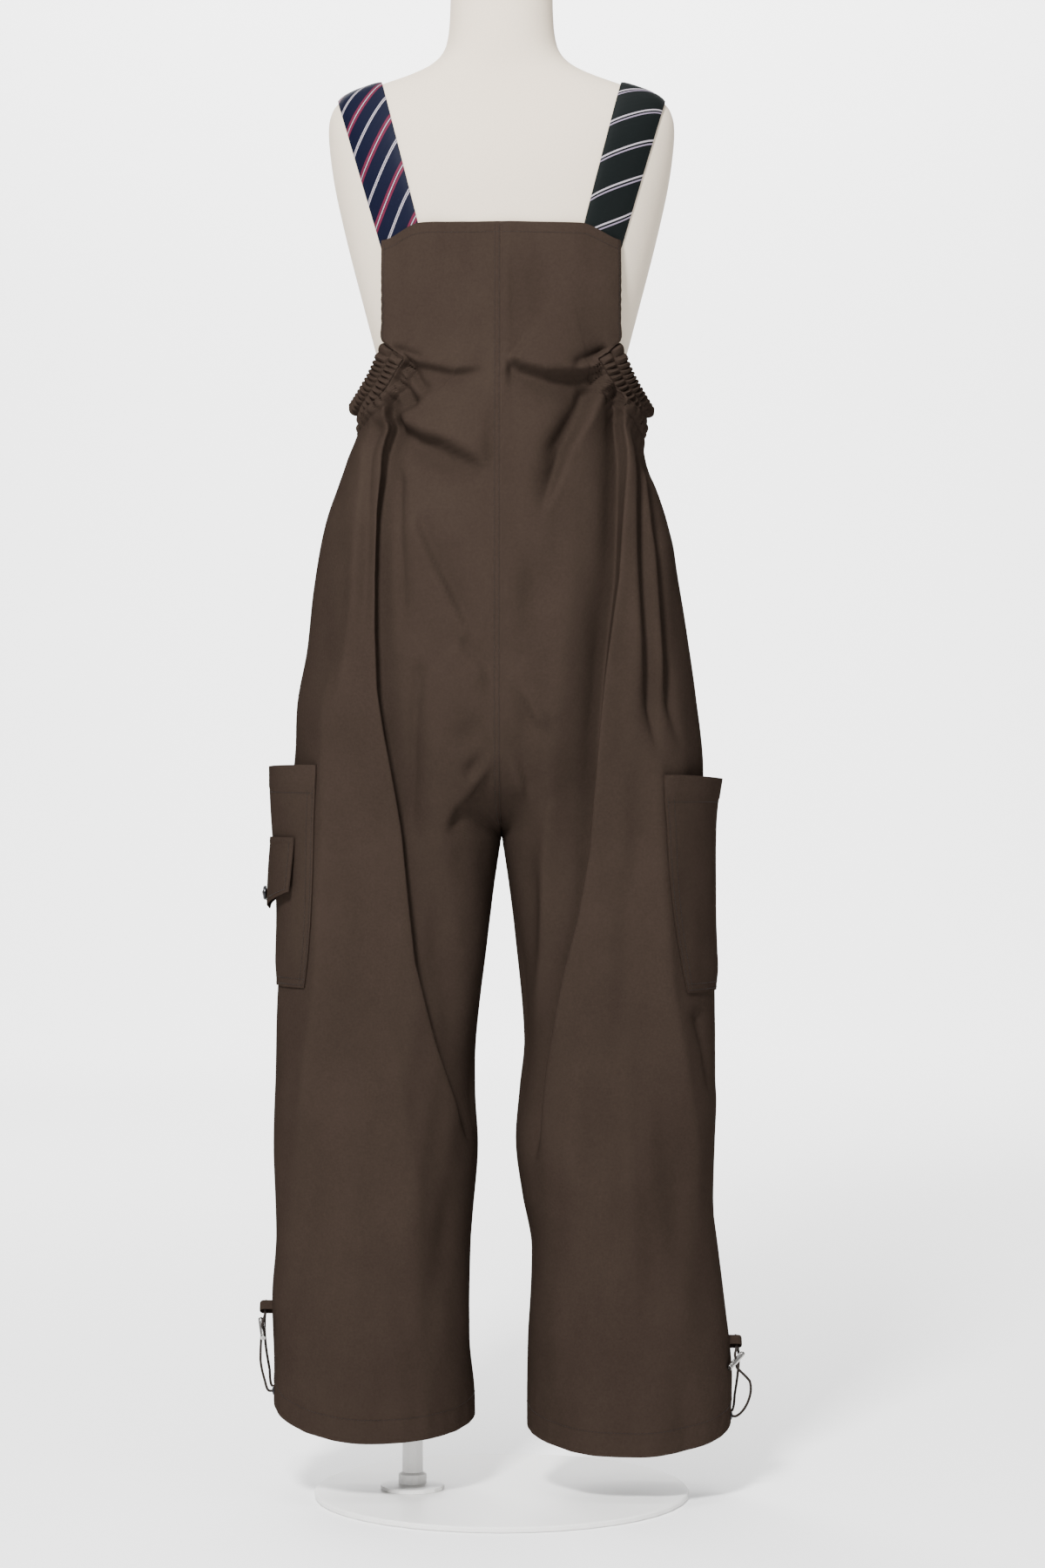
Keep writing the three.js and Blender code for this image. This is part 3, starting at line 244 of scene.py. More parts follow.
# Folds of the hanging cloth: side, face, kind, depth, width, and a path of (distance from the middle, z).
# A knife fold stands proud on its outer side and laps over a valley on its inner side; with a negative
# depth it is the other way. A ledge is a soft knife, a crest a crisp ridge, a groove a narrow crease.
FOLDS = [
    (LEFT, BACK, "knife", 11, 14, [(118, 1176), (121, 1077), (126, 1037), (129, 973), (129, 920), (127, 857),
                                   (121, 808), (115, 767), (106, 708), (99, 631), (93, 574), (83, 532),
                                   (70, 483), (48, 422), (28, 360)]),
    (LEFT, BACK, "trough", 7, 15, [(108, 900), (100, 800), (90, 700), (80, 620), (70, 540), (52, 470),
                                   (30, 400)]),
    (LEFT, BACK, "groove", 4, 5, [(108, 1090), (106, 1030), (103, 976), (101, 910)]),
    (LEFT, BACK, "crest", 11, 18, [(134, 1140), (137, 1072), (143, 1009), (149, 930), (160, 850), (170, 780)]),
    (LEFT, BACK, "groove", 7, 4, [(126, 1150), (130, 1095), (134, 1040), (137, 970), (139, 880)]),
    (LEFT, BACK, "ledge", -15, 15, [(113, 1148), (102, 1130), (84, 1119), (63, 1112), (25, 1091), (4, 1078)]),
    (LEFT, BACK, "trough", 6, 11, [(106, 1120), (84, 1106), (56, 1092), (26, 1070)]),
    (LEFT, BACK, "groove", 11, 6, [(116, 1192), (104, 1172), (97, 1158), (82, 1150)]),
    (LEFT, BACK, "groove", 8, 5, [(108, 1202), (96, 1190), (86, 1175), (72, 1163)]),
    (LEFT, BACK, "ledge", -9, 11, [(108, 1208), (86, 1194), (50, 1185), (12, 1188)]),
    (LEFT, BACK, "groove", 5, 4, [(114, 1213), (100, 1209), (86, 1203), (76, 1206)]),
    (LEFT, BACK, "ledge", 7, 10, [(92, 1040), (69, 987), (48, 946), (26, 898)]),
    (LEFT, BACK, "trough", 5, 24, [(60, 1030), (46, 950), (38, 870)]),
    (LEFT, BACK, "ledge", 7, 9, [(2, 788), (14, 768), (30, 746), (46, 732), (64, 698)]),
    (LEFT, BACK, "groove", 7, 6, [(4, 806), (14, 792), (27, 776), (42, 760)]),
    (LEFT, BACK, "trough", 6, 10, [(54, 790), (27, 812), (6, 832)]),
    (LEFT, BACK, "ledge", 7, 9, [(46, 904), (25, 883), (5, 864)]),
    (LEFT, BACK, "crest", 16, 26, [(170, 900), (174, 820), (177, 740), (180, 660), (185, 575), (196, 470),
                                   (209, 350), (226, 230)]),
    (LEFT, BACK, "trough", 6, 18, [(134, 800), (140, 600), (146, 480), (152, 340)]),
    (LEFT, BACK, "trough", 6, 11, [(64, 690), (58, 610), (50, 530), (36, 460)]),
    (LEFT, BACK, "groove", 6, 7, [(84, 890), (92, 800), (90, 730), (84, 670)]),
    (LEFT, BACK, "ridge", 7, 14, [(128, 600), (106, 440), (88, 330), (80, 200)]),
    (LEFT, BACK, "trough", 8, 16, [(138, 520), (130, 350), (122, 190)]),
    (LEFT, BACK, "trough", 6, 15, [(62, 350), (56, 240), (54, 160)]),
    (LEFT, BACK, "trough", 6, 13, [(192, 440), (202, 300), (206, 180)]),
    (RIGHT, BACK, "knife", 12, 15, [(118, 1190), (124, 1143), (125, 1090), (123, 1033), (121, 970), (114, 902),
                                    (108, 846), (103, 800), (95, 684), (84, 620), (70, 565), (52, 470),
                                    (33, 345)]),
    (RIGHT, BACK, "trough", 7, 17, [(108, 1090), (108, 1010), (104, 940), (95, 860), (88, 780), (78, 690),
                                    (64, 600), (47, 500), (28, 400)]),
    (RIGHT, BACK, "groove", 13, 6, [(136, 1148), (140, 1100), (142, 1040), (145, 970), (150, 900), (157, 827),
                                    (163, 745)]),
    (RIGHT, BACK, "crest", 9, 9, [(129, 1140), (132, 1080), (133, 1000), (136, 920), (143, 830)]),
    (RIGHT, BACK, "crest", 11, 10, [(147, 1116), (151, 1040), (156, 960), (162, 880), (168, 800)]),
    (RIGHT, BACK, "groove", 14, 6, [(150, 1124), (158, 1052), (164, 995), (170, 920), (177, 846), (184, 775)]),
    (RIGHT, BACK, "crest", 5, 8, [(165, 1030), (172, 950), (181, 850), (188, 790)]),
    (RIGHT, BACK, "ledge", 13, 9, [(114, 1196), (103, 1168), (87, 1136), (70, 1106), (56, 1068), (40, 1028)]),
    (RIGHT, BACK, "groove", 7, 7, [(98, 1172), (78, 1142), (58, 1112), (44, 1088)]),
    (RIGHT, BACK, "trough", 7, 12, [(92, 1148), (70, 1108), (52, 1070), (40, 1020)]),
    (RIGHT, BACK, "ledge", 15, 13, [(6, 1200), (20, 1190), (46, 1183), (70, 1183), (92, 1187), (114, 1193)]),
    (RIGHT, BACK, "trough", 6, 12, [(104, 1180), (80, 1168), (50, 1166), (20, 1176)]),
    (RIGHT, BACK, "groove", 8, 5, [(114, 1212), (98, 1205), (82, 1198), (70, 1188)]),
    (RIGHT, BACK, "trough", 4.5, 19, [(32, 1325), (36, 1270), (40, 1230), (46, 1208)]),
    (RIGHT, BACK, "ledge", 8, 9, [(2, 868), (14, 856), (26, 840), (44, 806)]),
    (RIGHT, BACK, "ledge", -7, 9, [(3, 800), (16, 780), (30, 742)]),
    (RIGHT, BACK, "trough", 6, 15, [(46, 1005), (34, 950), (24, 895)]),
    (RIGHT, BACK, "trough", 9, 9, [(30, 720), (28, 620), (26, 565), (22, 460)]),
    (RIGHT, BACK, "crest", 6, 9, [(52, 750), (43, 640), (38, 560), (30, 480)]),
    (RIGHT, BACK, "crest", 15, 25, [(160, 850), (160, 740), (163, 660), (174, 541), (189, 450), (199, 374),
                                    (212, 240)]),
    (RIGHT, BACK, "groove", 6, 6, [(199, 525), (210, 480), (217, 420)]),
    (RIGHT, BACK, "trough", 7, 20, [(132, 740), (138, 580), (146, 450), (150, 320)]),
    (RIGHT, BACK, "trough", 8, 18, [(98, 500), (104, 320), (106, 190)]),
    (RIGHT, BACK, "ridge", 6, 14, [(126, 520), (134, 350), (136, 220)]),
    (RIGHT, BACK, "trough", 6, 13, [(180, 430), (186, 290), (188, 190)]),
    (RIGHT, BACK, "trough", 5, 15, [(58, 360), (54, 240), (52, 160)]),
    (LEFT, FRONT, "knife", 12, 14, [(115, 1176), (121, 1090), (122, 1020), (121, 940), (116, 850), (107, 760),
                                    (98, 680), (88, 600), (74, 520), (46, 400)]),
    (LEFT, FRONT, "trough", 7, 15, [(108, 1080), (108, 940), (98, 820), (86, 720), (74, 620), (58, 520),
                                     (36, 420)]),
    (LEFT, FRONT, "knife", -8, 10, [(137, 1140), (145, 1060), (153, 980), (162, 900), (172, 800)]),
    (LEFT, FRONT, "groove", 10, 5, [(129, 1146), (134, 1080), (138, 1010), (141, 930)]),
    (LEFT, FRONT, "groove", 9, 6, [(156, 1100), (164, 1010), (171, 940), (179, 850)]),
    (LEFT, FRONT, "ledge", -12, 14, [(114, 1164), (92, 1130), (58, 1108), (16, 1094)]),
    (LEFT, FRONT, "groove", 8, 5, [(112, 1190), (94, 1166), (72, 1152)]),
    (LEFT, FRONT, "groove", 6, 4, [(113, 1212), (98, 1206), (80, 1196)]),
    (LEFT, FRONT, "ledge", 8, 10, [(3, 812), (24, 778), (50, 742), (64, 704)]),
    (LEFT, FRONT, "trough", 6, 14, [(50, 1010), (38, 950), (28, 890)]),
    (LEFT, FRONT, "crest", 15, 25, [(162, 860), (166, 720), (171, 620), (182, 500), (195, 380), (211, 240)]),
    (LEFT, FRONT, "trough", 7, 20, [(134, 720), (142, 560), (152, 420), (158, 300)]),
    (LEFT, FRONT, "trough", 8, 9, [(34, 700), (30, 600), (28, 490)]),
    (LEFT, FRONT, "trough", 8, 17, [(102, 480), (98, 320), (94, 190)]),
    (LEFT, FRONT, "ridge", 6, 14, [(128, 500), (124, 340), (122, 220)]),
    (LEFT, FRONT, "trough", 5, 14, [(60, 340), (56, 240), (54, 160)]),
    (RIGHT, FRONT, "knife", 12, 14, [(114, 1180), (121, 1100), (121, 1020), (115, 920), (106, 800), (96, 690),
                                     (80, 590), (62, 490), (40, 380)]),
    (RIGHT, FRONT, "trough", 7, 15, [(107, 1090), (104, 1000), (96, 880), (84, 760), (72, 650), (54, 550),
                                      (34, 440)]),
    (RIGHT, FRONT, "knife", -8, 9, [(139, 1140), (149, 1040), (156, 960), (164, 880), (173, 790)]),
    (RIGHT, FRONT, "groove", 10, 5, [(130, 1150), (136, 1080), (143, 1020), (148, 940)]),
    (RIGHT, FRONT, "groove", 9, 6, [(157, 1090), (166, 1000), (173, 920), (180, 840)]),
    (RIGHT, FRONT, "ledge", 11, 11, [(114, 1180), (90, 1134), (62, 1088), (42, 1040)]),
    (RIGHT, FRONT, "ledge", 11, 12, [(10, 1190), (50, 1174), (84, 1180), (110, 1204)]),
    (RIGHT, FRONT, "groove", 7, 4, [(113, 1212), (96, 1204), (82, 1188)]),
    (RIGHT, FRONT, "ledge", 8, 10, [(3, 816), (20, 792), (48, 746)]),
    (RIGHT, FRONT, "crest", 15, 25, [(158, 860), (163, 700), (170, 600), (181, 490), (193, 380), (207, 240)]),
    (RIGHT, FRONT, "trough", 7, 20, [(126, 700), (134, 540), (142, 400), (148, 280)]),
    (RIGHT, FRONT, "trough", 8, 10, [(34, 700), (32, 580), (28, 460)]),
    (RIGHT, FRONT, "trough", 7, 17, [(96, 450), (92, 300), (90, 180)]),
    (RIGHT, FRONT, "ridge", 6, 14, [(124, 480), (126, 340), (124, 210)]),
]


# Folds fade out within this many of their widths
FOLD_REACH = 6
KNIFE_CORE = 2.6
KNIFE_LAP = 3.2
RIDGE_SHARE, VALLEY_SHARE = 0.8, 1.5
LAP_SHARE = 0.5
CREST_ROUND = 2.5


def from_path(path, x, z):
    """Signed distance of points from a path, outer side positive, and how far along it they lie."""
    path = np.array(path, float)
    runs = np.diff(path, axis=0)
    lengths = np.hypot(runs[:, 0], runs[:, 1])
    best = np.full(x.shape, np.inf)
    signed = np.zeros(x.shape)
    share = np.zeros(x.shape)
    before = 0.0
    for start, run, length in zip(path[:-1], runs, lengths):
        dx, dz = run / length
        from_x, from_z = x - start[0], z - start[1]
        reach = np.clip(from_x * dx + from_z * dz, 0, length)
        gap = np.hypot(from_x - dx * reach, from_z - dz * reach)
        near = gap < best
        outer = from_z * dx - from_x * dz
        best = np.where(near, gap, best)
        signed = np.where(near, np.sign(outer) * gap, signed)
        share = np.where(near, (before + reach) / lengths.sum(), share)
        before += length
    return signed, share


FADE_IN = {"knife": 0.03, "ledge": 0.1, "groove": 0.1, "crest": 0.12, "trough": 0.4, "ridge": 0.4}
FADE_OUT = {"knife": 0.12, "ledge": 0.3, "groove": 0.3, "crest": 0.3, "trough": 0.5, "ridge": 0.4}


def fold_depth(side, face, x, z):
    x, z = np.broadcast_arrays(x, z)
    total = np.zeros(x.shape)
    for fold_side, fold_face, kind, deep, wide, path in FOLDS:
        if fold_side != side or fold_face != face:
            continue
        (x_low, z_low), (x_high, z_high) = np.min(path, axis=0), np.max(path, axis=0)
        reach = FOLD_REACH * wide
        near = (x > x_low - reach) & (x < x_high + reach) & (z > z_low - reach) & (z < z_high + reach)
        if not near.any():
            continue
        signed, share = from_path(path, x[near], z[near])
        fade = ease(share / FADE_IN[kind]) * ease((1 - share) / FADE_OUT[kind])
        s = signed / wide
        if kind in ("knife", "ledge"):
            proud = math.copysign(1, deep) * signed
            fall = np.where(proud > 0, 2.0, 1.2) * wide
            core = KNIFE_CORE if kind == "knife" else 0.4 * wide
            share_of = np.where(proud > 0, RIDGE_SHARE, VALLEY_SHARE) if kind == "knife" else 1
            shape = math.copysign(1, deep) * share_of * np.tanh(proud / core) * np.exp(-np.abs(proud) / fall)
        elif kind == "groove":
            shape = -1 / np.cosh(1.3 * s)
        elif kind == "trough":
            shape = -np.exp(-0.5 * s * s)
        elif kind == "crest":
            shape = np.exp(-(np.sqrt(signed**2 + CREST_ROUND**2) - CREST_ROUND) / wide)
        else:
            shape = 1 / (1 + s * s)
        total[near] += deep * shape * fade
    return total


def fold_lap(side, face, x, z):
    """How far each point moves outward (+) or inward (-) where a knife fold laps over its valley."""
    x, z = np.broadcast_arrays(x, z)
    total = np.zeros(x.shape)
    for fold_side, fold_face, kind, deep, wide, path in FOLDS:
        if fold_side != side or fold_face != face or kind != "knife":
            continue
        signed, share = from_path(path, x, z)
        fade = ease(share / 0.04) * ease((1 - share) / 0.25)
        s = signed / KNIFE_LAP
        total -= LAP_SHARE * abs(deep) * s * np.exp(0.5 - 0.5 * s * s) * fade
    return total


def drift(seed, x, z, across, up, size):
    """Gentle unevenness of hanging cloth, longer along z than across."""
    dice = np.random.default_rng(seed)
    total = np.zeros(x.shape)
    for _ in range(7):
        wave_x = dice.uniform(0.5, 1.5) * dice.choice([-1, 1]) * 2 * math.pi / across
        wave_z = dice.uniform(0.4, 1.6) * 2 * math.pi / up
        total += np.sin(wave_x * x + wave_z * z + dice.uniform(0, 2 * math.pi))
    return size * total / math.sqrt(7)


def seat_share(t, z):
    fall = np.clip((SEAT_Z - z) / (SEAT_Z - CROTCH_Z), 0, 1)
    slow = ease((z - SIDE_TURN_Z) / (SEAT_Z + 20 - SIDE_TURN_Z))
    return mix(1 - fall**3, slow, ease(t / 0.45))


def lifted_z(side, face, t, z, x):
    low, inner, outer = HEM_LIFT[side]
    rise = np.where(t < 0.5, inner, outer) * (1 - np.sin(math.pi * np.clip(t, 0, 1)))
    near_hem = 1 - ease((z - low) / 230)
    corner = 16 * ease((x - 82) / 46)
    near_top = ease((z - BIB_TOP[face] + 60) / 60)
    return z + rise * near_hem - corner * near_top


def plain_point(side, face, t, z):
    """Point of the plain surface, t from the middle seam or inseam (0) to the side (1)."""
    t, z = np.broadcast_arrays(np.asarray(t, float), np.asarray(z, float))
    outer = outer_edge[side](z)
    inner = np.where(z < CROTCH_Z, inner_edge[side](z), 0)
    share = seat_share(t, z)
    phi = math.pi * t
    straight = np.interp(z, (BAND_END_Z, BIB_EDGE_Z), armhole_turn(np.array([BAND_END_Z, BIB_EDGE_Z], float)))
    turn = np.where((z > BAND_END_Z) & (z < BIB_EDGE_Z), straight, armhole_turn(z))
    psi = np.radians(np.where(z < SIDE_TOP_Z, 90, turn)) * t
    flat = flatness(z)
    leg_x = mix(inner, outer, (1 - np.cos(phi)) / 2)
    leg_y = leg_depth[face](z) * power(np.sin(phi), flat)
    body_x = outer * power(np.sin(psi), flat)
    body_y = body_depth[face](z) * power(np.cos(psi), flat)
    x = mix(leg_x, body_x, share)
    y = mix(leg_y, body_y, share)
    return np.stack([side * x, face * y, lifted_z(side, face, t, z, x)], axis=-1)


def normal_of(point, side, face, t, z):
    across = point(t + 0.003, z) - point(t - 0.003, z)
    up = point(t, z + 0.5) - point(t, z - 0.5)
    return unit(np.cross(across, up) * (side * -face))


# The armhole's edge, for the small pleats let out below the gathered band
BAND_GATHERS = 28


def armhole_point(side, s):
    """Point of the panels' armhole edge, s from the band's back end (0) to its front end (1)."""
    s = np.atleast_1d(np.asarray(s, float))
    share = 1 - np.abs(2 * s - 1)
    place = share * (len(ARMHOLE_LEVELS) - 1)
    z = np.interp(place, np.arange(len(ARMHOLE_LEVELS)), ARMHOLE_LEVELS)
    corners = {}
    for face in (BACK, FRONT):
        points = plain_point(side, face, 1.0, np.array(ARMHOLE_LEVELS, float))
        points[:, 1] = face * np.maximum(face * points[:, 1], SEAM_GAP / 2)
        index = np.arange(len(ARMHOLE_LEVELS))
        corners[face] = np.stack([np.interp(place, index, points[:, k]) for k in range(3)], axis=-1)
    del z
    return np.where((s < 0.5)[:, None], corners[BACK], corners[FRONT])


def gather_wave(side, s, row=0):
    """Uneven lobes of the elastic's gathers, 0 in the creases and 1 on the crests."""
    wander = 0.35 * np.sin(2 * math.pi * (2.3 * s + 0.13 * row + 0.2 * side)) / math.pi
    turn = BAND_GATHERS * s + wander + 0.37 * row
    return np.abs(np.sin(math.pi * turn)) ** 0.7


THIRD_ROW = 15
THIRD_PUFF = 4.2


def pleats(side, face, points):
    """Small pleats below the band and ripples beside the bib's edge."""
    s = np.linspace(0.0, 0.5, 160) if face == BACK else np.linspace(0.5, 1.0, 160)
    edge = armhole_point(side, s)
    flat = points.reshape(-1, 3)
    near = (flat[:, 2] > 1000) & (flat[:, 2] < 1225)
    total = np.zeros(len(flat))
    spots = flat[near]
    gaps = np.linalg.norm(spots[:, None, :] - edge[None, :, :], axis=2)
    closest = gaps.argmin(axis=1)
    gap = gaps.min(axis=1)
    place = s[closest]
    inside = np.clip(gap / THIRD_ROW, 0, 1)
    puff = THIRD_PUFF * (0.15 + 0.85 * gather_wave(side, place, 2)) * np.sin(math.pi * inside) ** 0.75
    crease = -1.2 * np.exp(-(((gap - THIRD_ROW) / 2) ** 2))
    beyond = 1.6 * (gather_wave(side, place, 2) - 0.5) * np.exp(-np.abs(gap - THIRD_ROW) / 9)
    below = ease((place if face == BACK else 1 - place) / 0.03)
    short = (puff + crease + beyond) * below
    swing = np.sin(2 * math.pi * (BAND_GATHERS / 3.1 * place + 0.2 * side * face))
    longer = 0.7 * swing * np.exp(-gap / 22) * ease(gap / 8)
    total[near] = short + longer
    return total.reshape(points.shape[:-1])


def cloth_point(side, face, t, z, fine=True):
    plain = plain_point(side, face, t, z)
    t, z = np.broadcast_arrays(np.asarray(t, float), np.asarray(z, float))
    x = np.abs(plain[..., 0])
    edge_fade = ease(t / 0.06) * ease((1 - t) / 0.06)
    depth = fold_depth(side, face, x, z) * edge_fade
    if fine:
        seed = 10 + side + 2 * face
        calm = ease(t / 0.05) * ease((1 - t) / 0.05)
        depth = depth + drift(seed, x, z, 95, 420, 1.3) * calm
        depth = depth + drift(seed + 40, x, z, 38, 160, 0.4) * calm
        depth = depth + pleats(side, face, plain) * ease((1 - t) / 0.01)
        low = HEM_LIFT[side][0]
        hem = np.exp(-np.abs(z - low - 24) / 12) + 0.5 * np.exp(-np.abs(z - low) / 10)
        depth = depth + drift(seed + 80, 3 * t * 120, z, 26, 90, 0.45) * hem * calm
        scallop = np.abs(np.sin(math.pi * z / 9.2)) ** 0.8 - 0.5
        above = ease((z - BIB_EDGE_Z - 4) / 10) * ease((BIB_TOP[face] - 22 - z) / 20)
        depth = depth + 1.1 * scallop * above * ease((t - 0.86) / 0.12)
        depth = depth + 0.25 * np.sin(2 * math.pi * z / 11.5) * np.exp(-x / 9)
        welt = ease((x - 0.2) / 0.8) * (1 - ease((x - 7.5) / 1.5))
        if side == LEFT:
            depth = depth + 0.3 * welt * (z > CROTCH_Z)
    def flat_point(a, b):
        return plain_point(side, face, a, b)

    normal = normal_of(flat_point, side, face, t, z)
    across = unit(flat_point(t + 0.003, z) - flat_point(t - 0.003, z))
    lap = fold_lap(side, face, x, z) * edge_fade
    return plain + normal * depth[..., None] + across * lap[..., None]


def keep_gap(points, side, face):
    points[..., 0] = side * np.maximum(side * points[..., 0], SEAM_TIGHT / 2)
    points[..., 1] = face * np.maximum(face * points[..., 1], SEAM_TIGHT / 2)
    return points


# Mesh helpers
def grid_faces(rows, columns, base, flip):
    i, j = np.meshgrid(np.arange(rows - 1), np.arange(columns - 1), indexing="ij")
    a = base + i * columns + j
    quads = np.stack([a, a + 1, a + columns + 1, a + columns], axis=-1).reshape(-1, 4)
    return quads[:, ::-1] if flip else quads


def mesh_object(name, points, quads, uv=None, material=None):
    """Mesh object from points in mm and quads, with smooth shading."""
    mesh = bpy.data.meshes.new(name)
    mesh.vertices.add(len(points))
    mesh.vertices.foreach_set("co", (np.asarray(points, float) * MM).ravel())
    mesh.loops.add(quads.size)
    mesh.loops.foreach_set("vertex_index", quads.ravel())
    mesh.polygons.add(len(quads))
    mesh.polygons.foreach_set("loop_start", np.arange(len(quads)) * 4)
    mesh.polygons.foreach_set("loop_total", np.full(len(quads), 4))
    mesh.update(calc_edges=True)
    mesh.validate()
    mesh.polygons.foreach_set("use_smooth", np.ones(len(mesh.polygons), bool))
    if uv is not None:
        layer = mesh.uv_layers.new(name="cloth")
        loops = np.zeros(len(mesh.loops), int)
        mesh.loops.foreach_get("vertex_index", loops)
        layer.data.foreach_set("uv", np.asarray(uv, float)[loops].ravel())
    obj = bpy.data.objects.new(name, mesh)
    bpy.context.scene.collection.objects.link(obj)
    if material is not None:
        mesh.materials.append(material)
    return obj


def grid_normals(points):
    across = np.gradient(points, axis=1)
    up = np.gradient(points, axis=0)
    return unit(np.cross(across, up))


def arc_uv(points):
    """Lengths along the rows and up the columns of a grid of points, in metres."""
    across = np.linalg.norm(np.diff(points, axis=1), axis=2)
    u = np.concatenate([np.zeros((len(points), 1)), np.cumsum(across, axis=1)], axis=1)
    up = np.linalg.norm(np.diff(points, axis=0), axis=2).mean(axis=1)
    v = np.concatenate([[0.0], np.cumsum(up)])[:, None] + np.zeros_like(u)
    return np.stack([u, v], axis=-1) * MM


RIM_ANGLE = 65


def wall_object(name, outer, inner, flip, material, uv=None):
    """Closed wall between two grids of points, and the area of its outside in square metres."""
    rows, columns = outer.shape[:2]
    size = rows * columns
    points = np.concatenate([outer.reshape(-1, 3), inner.reshape(-1, 3)])
    rim = []
    for i in range(rows - 1):
        rim.append([i * columns, (i + 1) * columns, size + (i + 1) * columns, size + i * columns])
        end = columns - 1
        rim.append(
            [(i + 1) * columns + end, i * columns + end, size + i * columns + end, size + (i + 1) * columns + end]
        )
    top = (rows - 1) * columns
    for j in range(columns - 1):
        rim.append([j + 1, j, size + j, size + j + 1])
        rim.append([top + j, top + j + 1, size + top + j + 1, size + top + j])
    rim = np.array(rim)
    rim = rim[:, ::-1] if flip else rim
    quads = np.concatenate(
        [grid_faces(rows, columns, 0, flip), grid_faces(rows, columns, size, not flip), rim]
    )
    uv = (arc_uv(outer) if uv is None else uv).reshape(-1, 2)
    obj = mesh_object(name, points, quads, np.concatenate([uv, uv]), material)
    obj.data.set_sharp_from_angle(angle=math.radians(RIM_ANGLE))
    diagonal_a = outer[1:, 1:] - outer[:-1, :-1]
    diagonal_b = outer[1:, :-1] - outer[:-1, 1:]
    area = 0.5 * np.linalg.norm(np.cross(diagonal_a, diagonal_b), axis=2).sum() * MM * MM
    return obj, area


# Materials
def new_material(name):
    material = bpy.data.materials.new(name)
    material.use_nodes = True
    nodes = material.node_tree.nodes
    links = material.node_tree.links
    return material, nodes, links, nodes["Principled BSDF"]


def twill_material(name, light, dark, rib=0.0011):
    """Smooth cotton twill: fine diagonal ribs and slight colour drift, with no sheen."""
    material, nodes, links, shader = new_material(name)
    uv = nodes.new("ShaderNodeUVMap")
    uv.uv_map = "cloth"
    place = nodes.new("ShaderNodeTexCoord")
    large = nodes.new("ShaderNodeTexNoise")
    large.inputs["Scale"].default_value = 9
    large.inputs["Detail"].default_value = 5
    large.inputs["Roughness"].default_value = 0.6
    links.new(place.outputs["Object"], large.inputs["Vector"])
    slub = nodes.new("ShaderNodeTexNoise")
    slub.inputs["Scale"].default_value = 420
    slub.inputs["Detail"].default_value = 3
    links.new(place.outputs["Object"], slub.inputs["Vector"])
    turn = nodes.new("ShaderNodeMapping")
    turn.inputs["Rotation"].default_value = (0, 0, math.radians(32))
    links.new(uv.outputs["UV"], turn.inputs["Vector"])
    ribs = nodes.new("ShaderNodeTexWave")
    ribs.wave_type = "BANDS"
    ribs.bands_direction = "X"
    ribs.inputs["Scale"].default_value = 1 / rib / 20 * 2 * math.pi / (2 * math.pi)
    ribs.inputs["Distortion"].default_value = 0.6
    ribs.inputs["Detail"].default_value = 1
    links.new(turn.outputs["Vector"], ribs.inputs["Vector"])
    both = nodes.new("ShaderNodeMath")
    both.operation = "MULTIPLY_ADD"
    both.inputs[1].default_value = 0.55
    links.new(large.outputs["Fac"], both.inputs[0])
    part = nodes.new("ShaderNodeMath")
    part.operation = "MULTIPLY"
    part.inputs[1].default_value = 0.45
    links.new(slub.outputs["Fac"], part.inputs[0])
    links.new(part.outputs["Value"], both.inputs[2])
    ramp = nodes.new("ShaderNodeValToRGB")
    ramp.color_ramp.elements[0].position = 0.36
    ramp.color_ramp.elements[0].color = (*dark, 1)
    ramp.color_ramp.elements[1].position = 0.64
    ramp.color_ramp.elements[1].color = (*light, 1)
    links.new(both.outputs["Value"], ramp.inputs["Fac"])
    links.new(ramp.outputs["Color"], shader.inputs["Base Color"])
    shader.inputs["Roughness"].default_value = 0.8
    shader.inputs["Specular IOR Level"].default_value = 0.0
    shader.inputs["Sheen Roughness"].default_value = 0.5
    shader.inputs["Sheen Tint"].default_value = (0.85, 0.66, 0.52, 1)
    weave = nodes.new("ShaderNodeBump")
    weave.inputs["Strength"].default_value = 0.25
    weave.inputs["Distance"].default_value = 0.00012
    links.new(ribs.outputs["Fac"], weave.inputs["Height"])
    crinkle = nodes.new("ShaderNodeTexNoise")
    crinkle.inputs["Scale"].default_value = 55
    crinkle.inputs["Detail"].default_value = 4
    links.new(place.outputs["Object"], crinkle.inputs["Vector"])
    soft = nodes.new("ShaderNodeBump")
    soft.inputs["Strength"].default_value = 0.25
    soft.inputs["Distance"].default_value = 0.0011
    links.new(crinkle.outputs["Fac"], soft.inputs["Height"])
    links.new(weave.outputs["Normal"], soft.inputs["Normal"])
    links.new(soft.outputs["Normal"], shader.inputs["Normal"])
    return material


